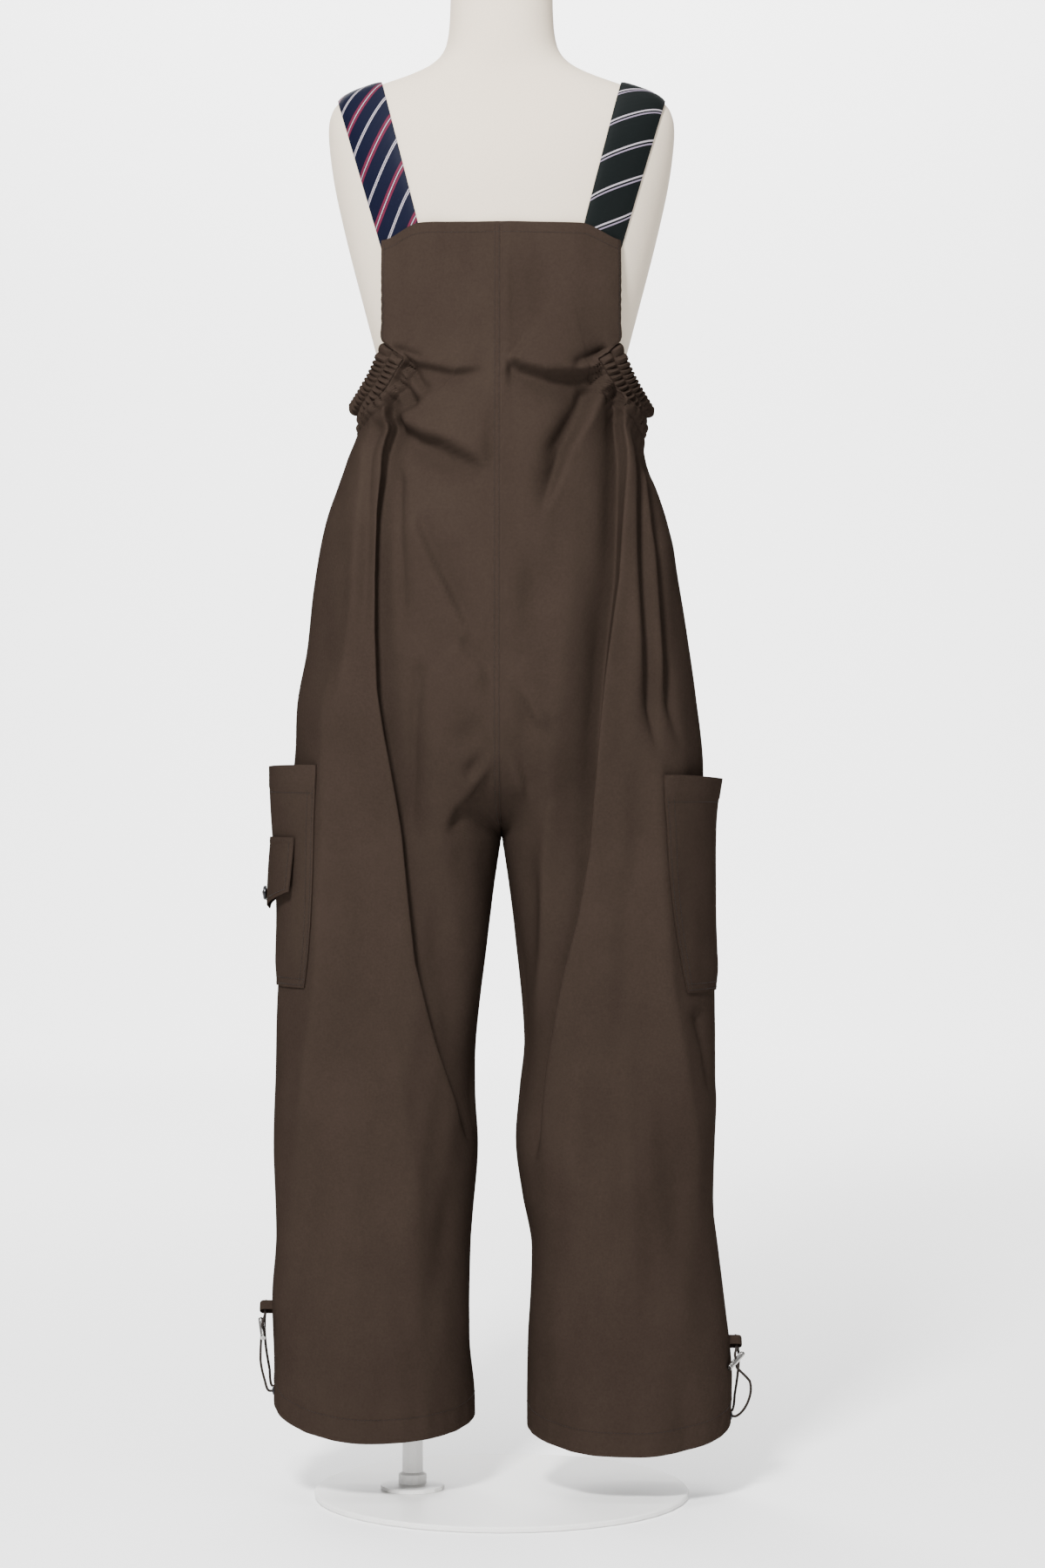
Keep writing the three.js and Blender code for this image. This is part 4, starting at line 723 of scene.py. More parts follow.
def plain_material(name, colour, roughness, metallic=0.0, grain=300, depth=0.00004, sheen=0.0):
    material, nodes, links, shader = new_material(name)
    place = nodes.new("ShaderNodeTexCoord")
    noise = nodes.new("ShaderNodeTexNoise")
    noise.inputs["Scale"].default_value = grain
    noise.inputs["Detail"].default_value = 4
    links.new(place.outputs["Object"], noise.inputs["Vector"])
    ramp = nodes.new("ShaderNodeValToRGB")
    ramp.color_ramp.elements[0].color = (*[0.9 * c for c in colour], 1)
    ramp.color_ramp.elements[1].color = (*[min(1.06 * c, 1) for c in colour], 1)
    links.new(noise.outputs["Fac"], ramp.inputs["Fac"])
    links.new(ramp.outputs["Color"], shader.inputs["Base Color"])
    shader.inputs["Roughness"].default_value = roughness
    shader.inputs["Metallic"].default_value = metallic
    shader.inputs["Sheen Weight"].default_value = sheen
    shader.inputs["Specular IOR Level"].default_value = 0.5 if metallic else 0.2
    bump = nodes.new("ShaderNodeBump")
    bump.inputs["Strength"].default_value = 0.3
    bump.inputs["Distance"].default_value = depth
    links.new(noise.outputs["Fac"], bump.inputs["Height"])
    links.new(bump.outputs["Normal"], shader.inputs["Normal"])
    return material


def striped_material(name, ground, stripes, period, turn):
    """Tie silk: stripes of (start, width, colour) in mm, repeated across the line of the stripes."""
    material, nodes, links, shader = new_material(name)
    uv = nodes.new("ShaderNodeUVMap")
    uv.uv_map = "cloth"
    split = nodes.new("ShaderNodeSeparateXYZ")
    links.new(uv.outputs["UV"], split.inputs["Vector"])

    def math_node(operation, first, second):
        node = nodes.new("ShaderNodeMath")
        node.operation = operation
        for socket, value in zip(node.inputs, (first, second)):
            if isinstance(value, (int, float)):
                socket.default_value = value
            else:
                links.new(value, socket)
        return node.outputs["Value"]

    across = math_node("MULTIPLY", split.outputs["X"], math.cos(turn) / MM)
    up = math_node("MULTIPLY", split.outputs["Y"], -math.sin(turn) / MM)
    place = math_node("FLOORED_MODULO", math_node("ADD", across, up), period)
    colour = None
    for start, width, shade in stripes:
        above = math_node("GREATER_THAN", place, start)
        below = math_node("LESS_THAN", place, start + width)
        inside = math_node("MULTIPLY", above, below)
        blend = nodes.new("ShaderNodeMix")
        blend.data_type = "RGBA"
        links.new(inside, blend.inputs["Factor"])
        if colour is None:
            blend.inputs["A"].default_value = (*ground, 1)
        else:
            links.new(colour, blend.inputs["A"])
        blend.inputs["B"].default_value = (*shade, 1)
        colour = blend.outputs["Result"]
    links.new(colour, shader.inputs["Base Color"])
    shader.inputs["Roughness"].default_value = 0.6
    shader.inputs["Specular IOR Level"].default_value = 0.07
    ribs = nodes.new("ShaderNodeTexWave")
    ribs.inputs["Scale"].default_value = 60
    turn_node = nodes.new("ShaderNodeMapping")
    turn_node.inputs["Rotation"].default_value = (0, 0, math.radians(45))
    links.new(uv.outputs["UV"], turn_node.inputs["Vector"])
    links.new(turn_node.outputs["Vector"], ribs.inputs["Vector"])
    bump = nodes.new("ShaderNodeBump")
    bump.inputs["Strength"].default_value = 0.3
    bump.inputs["Distance"].default_value = 0.0001
    links.new(ribs.outputs["Fac"], bump.inputs["Height"])
    links.new(bump.outputs["Normal"], shader.inputs["Normal"])
    return material


TWILL_LIGHT = (0.0245, 0.0172, 0.0134)
TWILL_DARK = (0.0195, 0.0136, 0.0106)
twill = twill_material("twill", TWILL_LIGHT, TWILL_DARK)
thread = plain_material("thread", (0.0125, 0.0088, 0.007), 0.8, grain=900)
form_cover = plain_material("form_cover", (0.62, 0.53, 0.42), 0.85, grain=700, depth=0.0001)
stand_paint = plain_material("stand_paint", (0.8, 0.79, 0.77), 0.4, grain=900, depth=0.00005)
steel = plain_material("steel", (0.36, 0.35, 0.34), 0.25, 1.0, grain=200, depth=0.00002)
dark_metal = plain_material("dark_metal", (0.03, 0.03, 0.033), 0.3, 1.0, grain=200, depth=0.00002)
cord_cover = plain_material("cord_cover", (0.014, 0.0095, 0.0075), 0.85, grain=1500, depth=0.0003)
WHITE, RED = (0.3, 0.27, 0.3), (0.075, 0.008, 0.022)
LILAC = (0.17, 0.14, 0.19)
navy_tie = striped_material(
    "navy_tie",
    (0.0018, 0.0026, 0.0105),
    [(2, 0.9, WHITE), (3.7, 0.9, WHITE), (18.4, 2.3, RED), (21.3, 0.8, WHITE), (22.7, 2.3, RED)],
    36.5,
    math.radians(41),
)
green_tie = striped_material(
    "green_tie",
    (0.0034, 0.0048, 0.0048),
    [(2, 1.5, WHITE), (5.2, 1.3, LILAC)],
    29.5,
    math.radians(44),
)


# Panels
PANEL_COLUMNS = 124
PANEL_ROW = 4.8
GATHER_LOW = 1112
GATHER_ROW = 1.7


def row_shares(side, face, z, count):
    """Shares t of each row, closer together where sharp folds cross it."""
    fine = 400
    t = np.linspace(0, 1, fine + 1)[None, :]
    x = np.abs(plain_point(side, face, t, z[:, None])[..., 0])
    near = np.zeros(x.shape)
    for fold_side, fold_face, kind, _, wide, path in FOLDS:
        if fold_side == side and fold_face == face and kind in ("knife", "groove"):
            signed, share = from_path(path, x, np.broadcast_to(z[:, None], x.shape))
            fade = ease(share / 0.04) * ease((1 - share) / 0.3)
            if kind == "knife":
                near += fade * (4.5 * np.exp(-((signed / 5) ** 2)) + 0.6 * np.exp(-((signed / 14) ** 2)))
            else:
                near += fade * 0.7 * np.exp(-((signed / (0.9 * wide)) ** 2))
    weight = 1 + np.minimum(near, 5)
    spread = 5
    padded_rows = np.concatenate([np.repeat(weight[:1], spread, 0), weight, np.repeat(weight[-1:], spread, 0)])
    weight = sum(padded_rows[k : k + len(weight)] for k in range(2 * spread + 1)) / (2 * spread + 1)
    reach = np.concatenate(
        [np.zeros((len(z), 1)), np.cumsum((weight[:, 1:] + weight[:, :-1]) / 2, axis=1)], axis=1
    )
    goals = np.linspace(0, 1, count + 1)
    return np.stack([np.interp(goals * row[-1], row, t[0]) for row in reach])


def panel(side, face):
    low, top = HEM_LIFT[side][0], BIB_TOP[face]
    stops = [low, CROTCH_Z, GATHER_LOW, SIDE_TOP_Z, BAND_END_Z, BIB_EDGE_Z, top]
    levels = [np.array([low], float)]
    for start, stop in zip(stops[:-1], stops[1:]):
        pitch = GATHER_ROW if start in (GATHER_LOW, SIDE_TOP_Z, BAND_END_Z) else PANEL_ROW
        count = max(int(round((stop - start) / pitch)), 3)
        levels.append(np.linspace(start, stop, count + 1)[1:])
    z = np.concatenate(levels)
    t = row_shares(side, face, z, PANEL_COLUMNS)
    outer = keep_gap(cloth_point(side, face, t, z[:, None]), side, face)
    normals = grid_normals(outer) * (side * -face)
    normals[:, -1, 1] = 0
    inner = keep_gap(outer - unit(normals) * CLOTH, side, face)
    name = f"{FACE_NAME[face]}_{SIDE_NAME[side]}_cloth"
    obj, area = wall_object(name, outer, inner, side * face > 0, twill)
    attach(obj, "root")
    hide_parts(f"{FACE_NAME[face]}_{SIDE_NAME[side]}")
    return obj


# The camera, placed as the photograph was taken
CAMERA_BACK = 3800
CAMERA_X = 22.3
CAMERA_Z = 758
PICTURE_HEIGHT = 1800 * 0.93


def make_camera():
    data = bpy.data.cameras.new("camera")
    data.sensor_fit = "VERTICAL"
    data.sensor_height = 36
    data.lens = 36 * CAMERA_BACK / PICTURE_HEIGHT
    data.clip_end = 50
    camera = bpy.data.objects.new("camera", data)
    camera.location = (CAMERA_X * MM, -CAMERA_BACK * MM, CAMERA_Z * MM)
    camera.rotation_euler = (math.radians(90), 0, 0)
    bpy.context.scene.collection.objects.link(camera)
    bpy.context.scene.camera = camera


def area_light(name, place, aim, size, watts, colour=(1, 1, 1)):
    data = bpy.data.lights.new(name, "AREA")
    data.shape = "RECTANGLE"
    data.size, data.size_y = size
    data.energy = watts
    data.color = colour
    light = bpy.data.objects.new(name, data)
    light.location = place
    light.rotation_euler = (Vector(aim) - Vector(place)).to_track_quat("-Z", "Y").to_euler()
    bpy.context.scene.collection.objects.link(light)


def make_studio():
    """Pale floor that sweeps up into a backdrop, and soft light from the camera's left."""
    half, depth, radius, high = 10.0, 8.6, 2.4, 7.0
    profile = [(-10.0, 0.0), (depth - radius, 0.0)]
    for k in range(1, 13):
        angle = math.pi / 2 * k / 12
        profile.append((depth - radius + radius * math.sin(angle), radius - radius * math.cos(angle)))
    profile.append((depth, high))
    points = np.array([[side * half, y, z - 0.0006] for side in (-1, 1) for y, z in profile]) / MM
    count = len(profile)
    quads = np.array([[i, i + 1, count + i + 1, count + i] for i in range(count - 1)])[:, ::-1]
    paper, nodes, links, shader = new_material("paper")
    shader.inputs["Base Color"].default_value = (0.92, 0.92, 0.92, 1)
    shader.inputs["Roughness"].default_value = 0.9
    shader.inputs["Emission Color"].default_value = (1, 1, 1, 1)
    shader.inputs["Emission Strength"].default_value = 0.22
    backdrop = mesh_object("backdrop", points, quads, None, paper)
    world = bpy.data.worlds.new("studio")
    world.use_nodes = True
    world.node_tree.nodes["Background"].inputs["Color"].default_value = (1, 1, 1, 1)
    world.node_tree.nodes["Background"].inputs["Strength"].default_value = 0.55
    bpy.context.scene.world = world
    area_light("key", (-0.75, -2.8, 2.8), (0, 0, 1.1), (0.5, 0.5), 325)
    area_light("fill", (2.2, -3.6, 1.9), (0, 0, 0.9), (2.0, 2.0), 4)
    area_light("top", (0.0, -0.5, 4.2), (0, 0, 0.8), (2.5, 2.5), 105)
    area_light("front", (-1.4, 3.2, 2.8), (0, 0, 1.0), (1.6, 1.6), 120)
    area_light("backdrop", (0, 5.0, 5.6), (0, 8.6, 1.4), (6.0, 2.0), 1100)


# The form
def form_y(face, x, z):
    inside = 1 - np.clip(np.abs(x) / form_half(z), 0, 1) ** FORM_ROUND
    return form_depth[face](z) * inside ** (1 / FORM_ROUND)


def make_form():
    around = 96
    z = np.concatenate([np.linspace(772, 1440, 110), np.linspace(1440, 1545, 70)[1:], np.linspace(1545, 1628, 14)[1:]])
    angle = np.linspace(0, 2 * math.pi, around + 1)[:-1]
    cos, sin = power(np.cos(angle), 2 / FORM_ROUND), power(np.sin(angle), 2 / FORM_ROUND)
    depth = np.where(sin[None, :] < 0, form_depth[BACK](z)[:, None], form_depth[FRONT](z)[:, None])
    ring = np.stack(
        [form_half(z)[:, None] * cos[None, :], depth * sin[None, :], z[:, None] + 0 * cos[None, :]], axis=-1
    )
    caps = []
    for level, rings in ((0, (0.5, 0.97)), (-1, (0.97, 0.5))):
        for share in rings:
            cap = ring[level].copy()
            cap[:, :2] *= share
            caps.append(cap)
    grid = np.concatenate([[caps[0], caps[1]], ring, [caps[2], caps[3]]])
    rows = len(grid)
    i, j = np.meshgrid(np.arange(rows - 1), np.arange(around), indexing="ij")
    a, b = i * around + j, i * around + (j + 1) % around
    quads = np.stack([a, b, b + around, a + around], axis=-1).reshape(-1, 4)
    points = grid.reshape(-1, 3)
    centres = np.array([[0, 0, 772.0], [0, 0, 1628.0]])
    obj = mesh_object("form_cover", np.concatenate([points, centres]), quads, None, form_cover)
    mesh = obj.data
    edit = bmesh.new()
    edit.from_mesh(mesh)
    edit.verts.ensure_lookup_table()
    low, high = len(points), len(points) + 1
    last = (rows - 1) * around
    for j in range(around):
        k = (j + 1) % around
        edit.faces.new([edit.verts[k], edit.verts[j], edit.verts[low]]).smooth = True
        edit.faces.new([edit.verts[last + j], edit.verts[last + k], edit.verts[high]]).smooth = True
    edit.to_mesh(mesh)
    edit.free()
    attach(obj, "root")
    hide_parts("form_torso")


# The elasticated bands: two gathered rows on a plain inside
BAND_PUFF = 5.2
BAND_WALL = 1.8
BAND_DROP = {LEFT: 0, RIGHT: 4}
BAND_TOP = table("z x y height", [(0, 125.5, 73, 1222), (0.2, 133, 62, 1202), (0.6, 146, 38, 1181),
                                  (1, 161, 0, 1163)])
band_top = {key: along(BAND_TOP, key) for key in ("x", "y", "height")}


def band_high(side, s):
    share = 1 - np.abs(2 * s - 1)
    face = np.where(s < 0.5, BACK, FRONT)
    deeper = np.where(s < 0.5, 0, 3) * (1 - share)
    return np.stack(
        [
            side * band_top["x"](share),
            face * (band_top["y"](share) + deeper),
            band_top["height"](share) - BAND_DROP[side] * share,
        ],
        axis=-1,
    )


def band(side):
    s = np.linspace(0.004, 0.996, 481)
    w = np.linspace(0, 1, 25)
    low, high = armhole_point(side, s), band_high(side, s)
    rise = high - low
    run = armhole_point(side, s + 0.003) - armhole_point(side, s - 0.003)
    out = unit(np.cross(run, rise) * side)
    kernel = np.ones(25) / 25
    padded_out = np.concatenate([np.repeat(out[:1], 12, axis=0), out, np.repeat(out[-1:], 12, axis=0)])
    out = unit(np.stack([np.convolve(padded_out[:, k], kernel, "valid") for k in range(3)], axis=-1))
    low = low + unit(rise) * 0.6
    row = np.where(w < 0.5, 0, 1)
    lobes = np.stack([gather_wave(side, s, r) for r in (0, 1)], axis=-1)[:, row]
    blend = ease((w - 0.42) / 0.16)
    both = gather_wave(side, s, 0)[:, None] * (1 - blend) + gather_wave(side, s, 1)[:, None] * blend
    lobes = np.where(np.abs(w - 0.5) < 0.08, both, lobes)
    puffs = np.abs(np.sin(2 * math.pi * w)) ** 0.75
    edge = 0.25 * np.exp(-(((w - 1) / 0.05) ** 2)) + 0.25 * np.exp(-((w / 0.05) ** 2))
    raised = (0.1 + 0.9 * lobes) * (puffs + edge)[None, :] * BAND_PUFF
    sway = 0.9 * np.sin(2 * math.pi * BAND_GATHERS * s)[:, None] * np.sin(2 * math.pi * w)[None, :]
    along_run = unit(run)
    flounce = 2.6 * (gather_wave(side, s, 1) - 0.5)[:, None] * ease((w - 0.8) / 0.2)[None, :]
    base = low[:, None, :] + rise[:, None, :] * w[None, :, None]
    for face, end_share in ((BACK, s), (FRONT, 1 - s)):
        sewn = plain_point(side, face, 1.0, mix(BAND_END_Z, BIB_EDGE_Z, w))
        sewn = sewn + np.array([-side * 3.0, -face * 3.4, 0])
        share = (1 - ease(end_share / 0.07))[:, None, None]
        base = mix(base, sewn[None, :, :], share)
    base = base + along_run[:, None, :] * sway[..., None] + unit(rise)[:, None, :] * flounce[..., None]
    outer = base + out[:, None, :] * raised[..., None]
    inner = base - out[:, None, :] * BAND_WALL
    obj, area = wall_object(f"gathered_band_{SIDE_NAME[side]}", outer, inner, side < 0, twill)
    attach(obj, "root")
    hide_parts(f"elastic_band_{SIDE_NAME[side]}")


# Straps, cut from neckties, from the back bib's corner over the shoulder to the front's
STRAP_TOP_INNER, STRAP_TOP_OUTER = 127, 173
STRAP_CLEAR = 0.9
STRAP_TUCK = 9


def shoulder_z(x):
    low, high = np.full(np.shape(x), 1455.0), np.full(np.shape(x), 1560.0)
    for _ in range(40):
        middle = (low + high) / 2
        wider = form_half(middle) > x
        low, high = np.where(wider, middle, low), np.where(wider, high, middle)
    return low


def form_normal(side, face, x, z):
    probe = 0.5

    def level(u, v, w):
        return (np.abs(u) / form_half(w)) ** FORM_ROUND + (np.abs(v) / form_depth[face](w)) ** FORM_ROUND

    y = form_y(face, x, z)
    return unit(
        np.stack(
            [
                side * (level(x + probe, y, z) - level(x - probe, y, z)),
                face * (level(x, y + probe, z) - level(x, np.maximum(y - probe, 0), z)) * (y > probe),
                level(x, y, z + probe) - level(x, y, z - probe),
            ],
            axis=-1,
        )
    )


def strap(side):
    columns = np.linspace(0, 1, 15)
    half = np.linspace(0, 1, 61)
    stations = [(BACK, u) for u in half] + [(FRONT, u) for u in half[-2::-1]]
    lines, normals = [], []
    for face, u in stations:
        foot = mix(BIB_HALF - STRAP_WIDTH + 3, BIB_HALF - 0.5, columns)
        crest = mix(STRAP_TOP_INNER, STRAP_TOP_OUTER, columns)
        bottom = lifted_z(side, face, 1.0, float(BIB_TOP[face]), foot) - STRAP_TUCK
        rise = math.sin(u * math.pi / 2)
        x = mix(foot, crest, rise)
        z = mix(bottom, shoulder_z(crest), rise)
        if u == 1:
            y = 0 * x
            normal = unit(np.stack([side * 0.35 + 0 * x, 0 * x, 1 + 0 * x], axis=-1))
        else:
            y = form_y(face, x, np.minimum(z, shoulder_z(x)))
            normal = form_normal(side, face, x, z)
        lines.append(np.stack([side * x, face * y, z], axis=-1) + normal * STRAP_CLEAR * (1 + u))
        normals.append(normal)
    base, normals = np.array(lines), np.array(normals)
    full = 1 - (2 * columns - 1) ** 6
    outer = base + normals * (0.9 + (TIE_THICK - 0.9) * full)[None, :, None]
    uv = arc_uv(outer)
    across = columns * STRAP_WIDTH * MM if side > 0 else (1 - columns) * STRAP_WIDTH * MM
    uv[..., 0] = across[None, :]
    uv[..., 1] = uv[:, :, 1].mean(axis=1)[:, None]
    tie = navy_tie if side == LEFT else green_tie
    obj, area = wall_object(f"tie_strap_{SIDE_NAME[side]}", outer, base, side < 0, tie, uv)
    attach(obj, "root")
    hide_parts(f"strap_{SIDE_NAME[side]}")


# Cargo pockets, sewn over the side seam and standing off it toward their open tops
POCKET_SEWN = 0.4
POCKET_ACROSS = 72
POCKET_UP = 70
POCKET_SCOOP = {LEFT: 4.5, RIGHT: 5.5}


def pocket_point(side, p, h, off=0.0):
    """Point of the pocket, p from its back edge (0) to its front edge (1), h from its bottom up."""
    p, h = np.broadcast_arrays(np.asarray(p, float), np.asarray(h, float))
    bottom, top = POCKET_SPAN[side]
    low, mouth, flare = POCKET_SHAPE[side]
    z = mix(bottom, top, h)
    edge = pocket_edge[side](z)
    full = mix(low, mouth, h**flare) * ease(h / 0.12)
    bulge = full * np.sin(math.pi * np.clip(p, 0, 1)) ** 0.8
    out = POCKET_SEWN + bulge + off
    result = np.zeros(p.shape + (3,))
    for face, half in ((BACK, p <= 0.5), (FRONT, p > 0.5)):
        t = mix(edge, 1, 1 - np.abs(2 * p - 1))
        fine = cloth_point(side, face, t, z)
        coarse = cloth_point(side, face, t, z, fine=False)
        blend = ease(bulge / 6)[..., None]
        base = mix(fine, coarse, blend)
        normal = normal_of(lambda a, b: plain_point(side, face, a, b), side, face, t, z)
        result = np.where(half[..., None], base + normal * out[..., None], result)
    return result


def pocket_slack(side, p, h):
    """Sag and soft dents of the pocket's cloth."""
    inside = np.sin(math.pi * p) * ease(h / 0.1)
    return inside * drift(300 + side, p * 120, h * 230, 70, 160, 0.9)


def pocket(side):
    p = np.linspace(0, 1, POCKET_ACROSS + 1)[None, :] + np.zeros((POCKET_UP + 1, 1))
    h = np.linspace(0, 1, POCKET_UP + 1)[:, None] + np.zeros((1, POCKET_ACROSS + 1))
    scoop = POCKET_SCOOP[side]
    inner = pocket_point(side, p, h, pocket_slack(side, p, h))
    outer = pocket_point(side, p, h, pocket_slack(side, p, h) + CLOTH)
    hem = ease((h - 0.885) / 0.012)[..., None]
    normal = unit(outer - inner)
    outer = outer + normal * 0.7 * hem
    drop = scoop * np.sin(math.pi * p) ** 2 * ease((h - 0.8) / 0.2)
    for grid in (outer, inner):
        grid[..., 2] -= drop
    obj, area = wall_object(f"pocket_{SIDE_NAME[side]}", outer, inner, side < 0, twill)
    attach(obj, "root")
    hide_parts(f"cargo_pocket_{SIDE_NAME[side]}")


# The flap on the left pocket, pointed at the middle of its lower edge, with its snap
FLAP_TOP, FLAP_SIDE, FLAP_POINT = 701, 56, 76
FLAP_FROM, FLAP_TO = 0.13, 0.87
FLAP_LEAN, FLAP_CLEAR = 7, 0.9


def flap_point(p, w, off):
    p, w = np.broadcast_arrays(np.asarray(p, float), np.asarray(w, float))
    bottom, top = POCKET_SPAN[LEFT]
    corner = 1 - np.abs(2 * (p - FLAP_FROM) / (FLAP_TO - FLAP_FROM) - 1)
    z = FLAP_TOP - mix(FLAP_SIDE, FLAP_POINT, corner) * w
    h = (z - bottom) / (top - bottom)

    def seat(a, b):
        return pocket_point(LEFT, a, b, CLOTH)

    across = seat(p + 0.01, h) - seat(p - 0.01, h)
    up = seat(p, h + 0.01) - seat(p, h - 0.01)
    normal = unit(np.cross(up, across))
    return seat(p, h) + normal * (FLAP_CLEAR + FLAP_LEAN * w + off)[..., None]


def flap():
    p = np.linspace(FLAP_FROM, FLAP_TO, 41)[None, :]
    w = np.linspace(0, 1, 31)[:, None]
    belly = 1.2 * np.sin(math.pi * w) * np.sin(math.pi * (p - FLAP_FROM) / (FLAP_TO - FLAP_FROM))
    turned_edge = 0.5 * ease((0.1 - w) / 0.03) + 0 * p
    outer = flap_point(p, w, CLOTH + belly + turned_edge)
    inner = flap_point(p, w, belly * 0.6)
    obj, area = wall_object("flap", outer, inner, False, twill)
    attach(obj, "root")
    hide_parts("pocket_flap")


def lathe(name, profile, segments, position, outward, material, node=None):
    """Turned piece from (radius, height) pairs round an outward axis, closed on itself."""
    outward = unit(np.array(outward, float))
    helper = np.array([0, 0, 1.0]) if abs(outward[2]) < 0.9 else np.array([1.0, 0, 0])
    right = unit(np.cross(helper, outward))
    up = np.cross(outward, right)
    profile = np.maximum(np.array(profile, float), [0.02, -1e9])
    angle = np.linspace(0, 2 * math.pi, segments + 1)[:-1]
    ring = np.cos(angle)[:, None] * right + np.sin(angle)[:, None] * up
    points = (
        np.array(position, float)
        + profile[:, None, 0:1] * ring[None, :, :]
        + profile[:, None, 1:2] * outward[None, None, :]
    )
    rows = len(profile)
    i, j = np.meshgrid(np.arange(rows), np.arange(segments), indexing="ij")
    a, b = i * segments + j, i * segments + (j + 1) % segments
    c, d = ((i + 1) % rows) * segments + (j + 1) % segments, ((i + 1) % rows) * segments + j
    quads = np.stack([a, b, c, d], axis=-1).reshape(-1, 4)
    obj = mesh_object(name, points.reshape(-1, 3), quads, None, material)
    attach(obj, "root")
    if node:
        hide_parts(node)
    return obj


def rounded(profile, radius, count=4):
    """The same profile with its corners rounded."""
    points = np.array(profile, float)
    result = []
    for k, corner in enumerate(points):
        before, after = points[k - 1] - corner, points[(k + 1) % len(points)] - corner
        reach = min(radius, 0.45 * np.linalg.norm(before), 0.45 * np.linalg.norm(after))
        start, end = corner + unit(before) * reach, corner + unit(after) * reach
        for u in np.linspace(0, 1, count + 1):
            result.append((1 - u) ** 2 * start + 2 * u * (1 - u) * corner + u * u * end)
    return result


def snap():
    middle = (FLAP_FROM + FLAP_TO) / 2
    seat = flap_point(middle, 0.78, CLOTH + SEAM_GAP + 1).reshape(3)
    ring = [(3.0, 0), (3.6, 0), (3.6, 2.2), (7.8, 2.8), (7.8, 5.0), (6.2, 6.2), (3.0, 5.4)]
    post = [(0, 0.2), (2.9, 0.2), (2.9, 6.4), (1.8, 7.4), (0, 7.4)]
    lathe("snap_ring", rounded(ring, 0.7), 48, seat, (-1, 0, 0), dark_metal, "flap_snap")
    lathe("snap_post", rounded(post, 0.5), 32, seat, (-1, 0, 0), steel, None)


# Eyelets, tabs, bar toggles and the elastic cords at the hems
EYELET_SHARE = 0.8
EYELET_RISE = {LEFT: 0.2, RIGHT: 0.12}
HEM_ROWS = 7
TAB_CLEAR = 0.9
TAB_WIDTH, TAB_DEEP, TAB_HIGH, TAPE = 11, 12.5, 10, 1.5
TAB_TILT = math.radians(50)
TAB_ROOT = 5
TRIMS = {
    LEFT: {"tab_z": 200, "high": (257, -3, 187.5), "low": (252.5, -27, 170.5)},
    RIGHT: {"tab_z": 163, "high": (257, -6, 151), "low": (241, -34, 140)},
}
CORD_RADIUS = 1.4
BAR_RADIUS = 3
CORD_ROUTES = {
    LEFT: {
        "rising": [(251, -22, 124), (256, -19, 145)],
        "falling": [(254, 14, 184), (253, 14, 157), (249, 18, 130)],
    },
    RIGHT: {
        "rising": [(257, -22, 94), (264, -18, 108), (264, -14, 123)],
        "falling": [(254, 14, 148), (253, 15, 126), (250, 19, 103)],
    },
}


def eyelet_seat(side, face):
    low = HEM_LIFT[side][0]
    z = low + EYELET_RISE[side] * (POCKET_SPAN[side][0] - low) / HEM_ROWS
    t = mix(pocket_edge[side](z), 1, EYELET_SHARE)
    point = cloth_point(side, face, t, z).reshape(3)
    normal = normal_of(lambda a, b: plain_point(side, face, a, b), side, face, t, z).reshape(3)
    return point + normal * 0.4, normal


def tab_seat(side):
    z = TRIMS[side]["tab_z"]
    height = z - (lifted_z(side, BACK, 1.0, float(z), 0.0) - z)
    point = plain_point(side, BACK, 1.0, float(height)).reshape(3)
    return np.array([point[0] + side * TAB_CLEAR, 0.0, z])


def bar_frame(side):
    high = np.array(TRIMS[side]["high"], float) * [side, 1, 1]
    low = np.array(TRIMS[side]["low"], float) * [side, 1, 1]
    axis = unit(high - low)
    bore = unit(np.array([0, 0, 1.0]) - axis * axis[2])
    return (high + low) / 2, axis, np.linalg.norm(high - low), bore


def eyelet(side, face):
    point, normal = eyelet_seat(side, face)
    profile = rounded([(2.1, 0), (4.6, 0), (4.4, 0.6), (3.4, 1.3), (2.3, 1.1)], 0.5)
    name = f"{FACE_NAME[face]}_{SIDE_NAME[side]}"
    lathe(f"eyelet_ring_{name}", profile, 40, point, normal, dark_metal,
          f"eyelet_{name}")


def tilted(y, z):
    """The same offsets from a tab's middle, turned with the tab's tilt."""
    return y * math.cos(TAB_TILT) - z * math.sin(TAB_TILT), y * math.sin(TAB_TILT) + z * math.cos(TAB_TILT)


def tab(side):
    half = TAB_HIGH / 2 - TAPE / 2
    centre = TAB_DEEP - TAB_HIGH / 2
    bend = np.linspace(-math.pi / 2, math.pi / 2, 25)
    line = [(-TAB_ROOT, -half), (centre * 0.5, -half)]
    line += [(centre + half * math.cos(a), half * math.sin(a)) for a in bend]
    line += [(centre * 0.5, half), (-TAB_ROOT, half)]
    line = np.array(line)
    run = np.gradient(line, axis=0)
    away = unit(np.stack([run[:, 1], -run[:, 0]], axis=-1))
    across = np.linspace(-TAB_WIDTH / 2, TAB_WIDTH / 2, 9)
    seat = tab_seat(side)

    def layer(offset):
        thick = offset * (1 - 0.5 * (np.abs(across) / (TAB_WIDTH / 2)) ** 6)
        place = line[:, None, :] + away[:, None, :] * thick[None, :, None]
        x = seat[0] + side * place[..., 0]
        y, z = tilted(np.broadcast_to(across, x.shape), place[..., 1])
        return np.stack([x, y, seat[2] + z], axis=-1)

    obj, _ = wall_object(f"tape_loop_{SIDE_NAME[side]}", layer(TAPE / 2), layer(-TAPE / 2), side > 0, twill)
    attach(obj, "root")
    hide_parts(f"cord_tab_{SIDE_NAME[side]}")


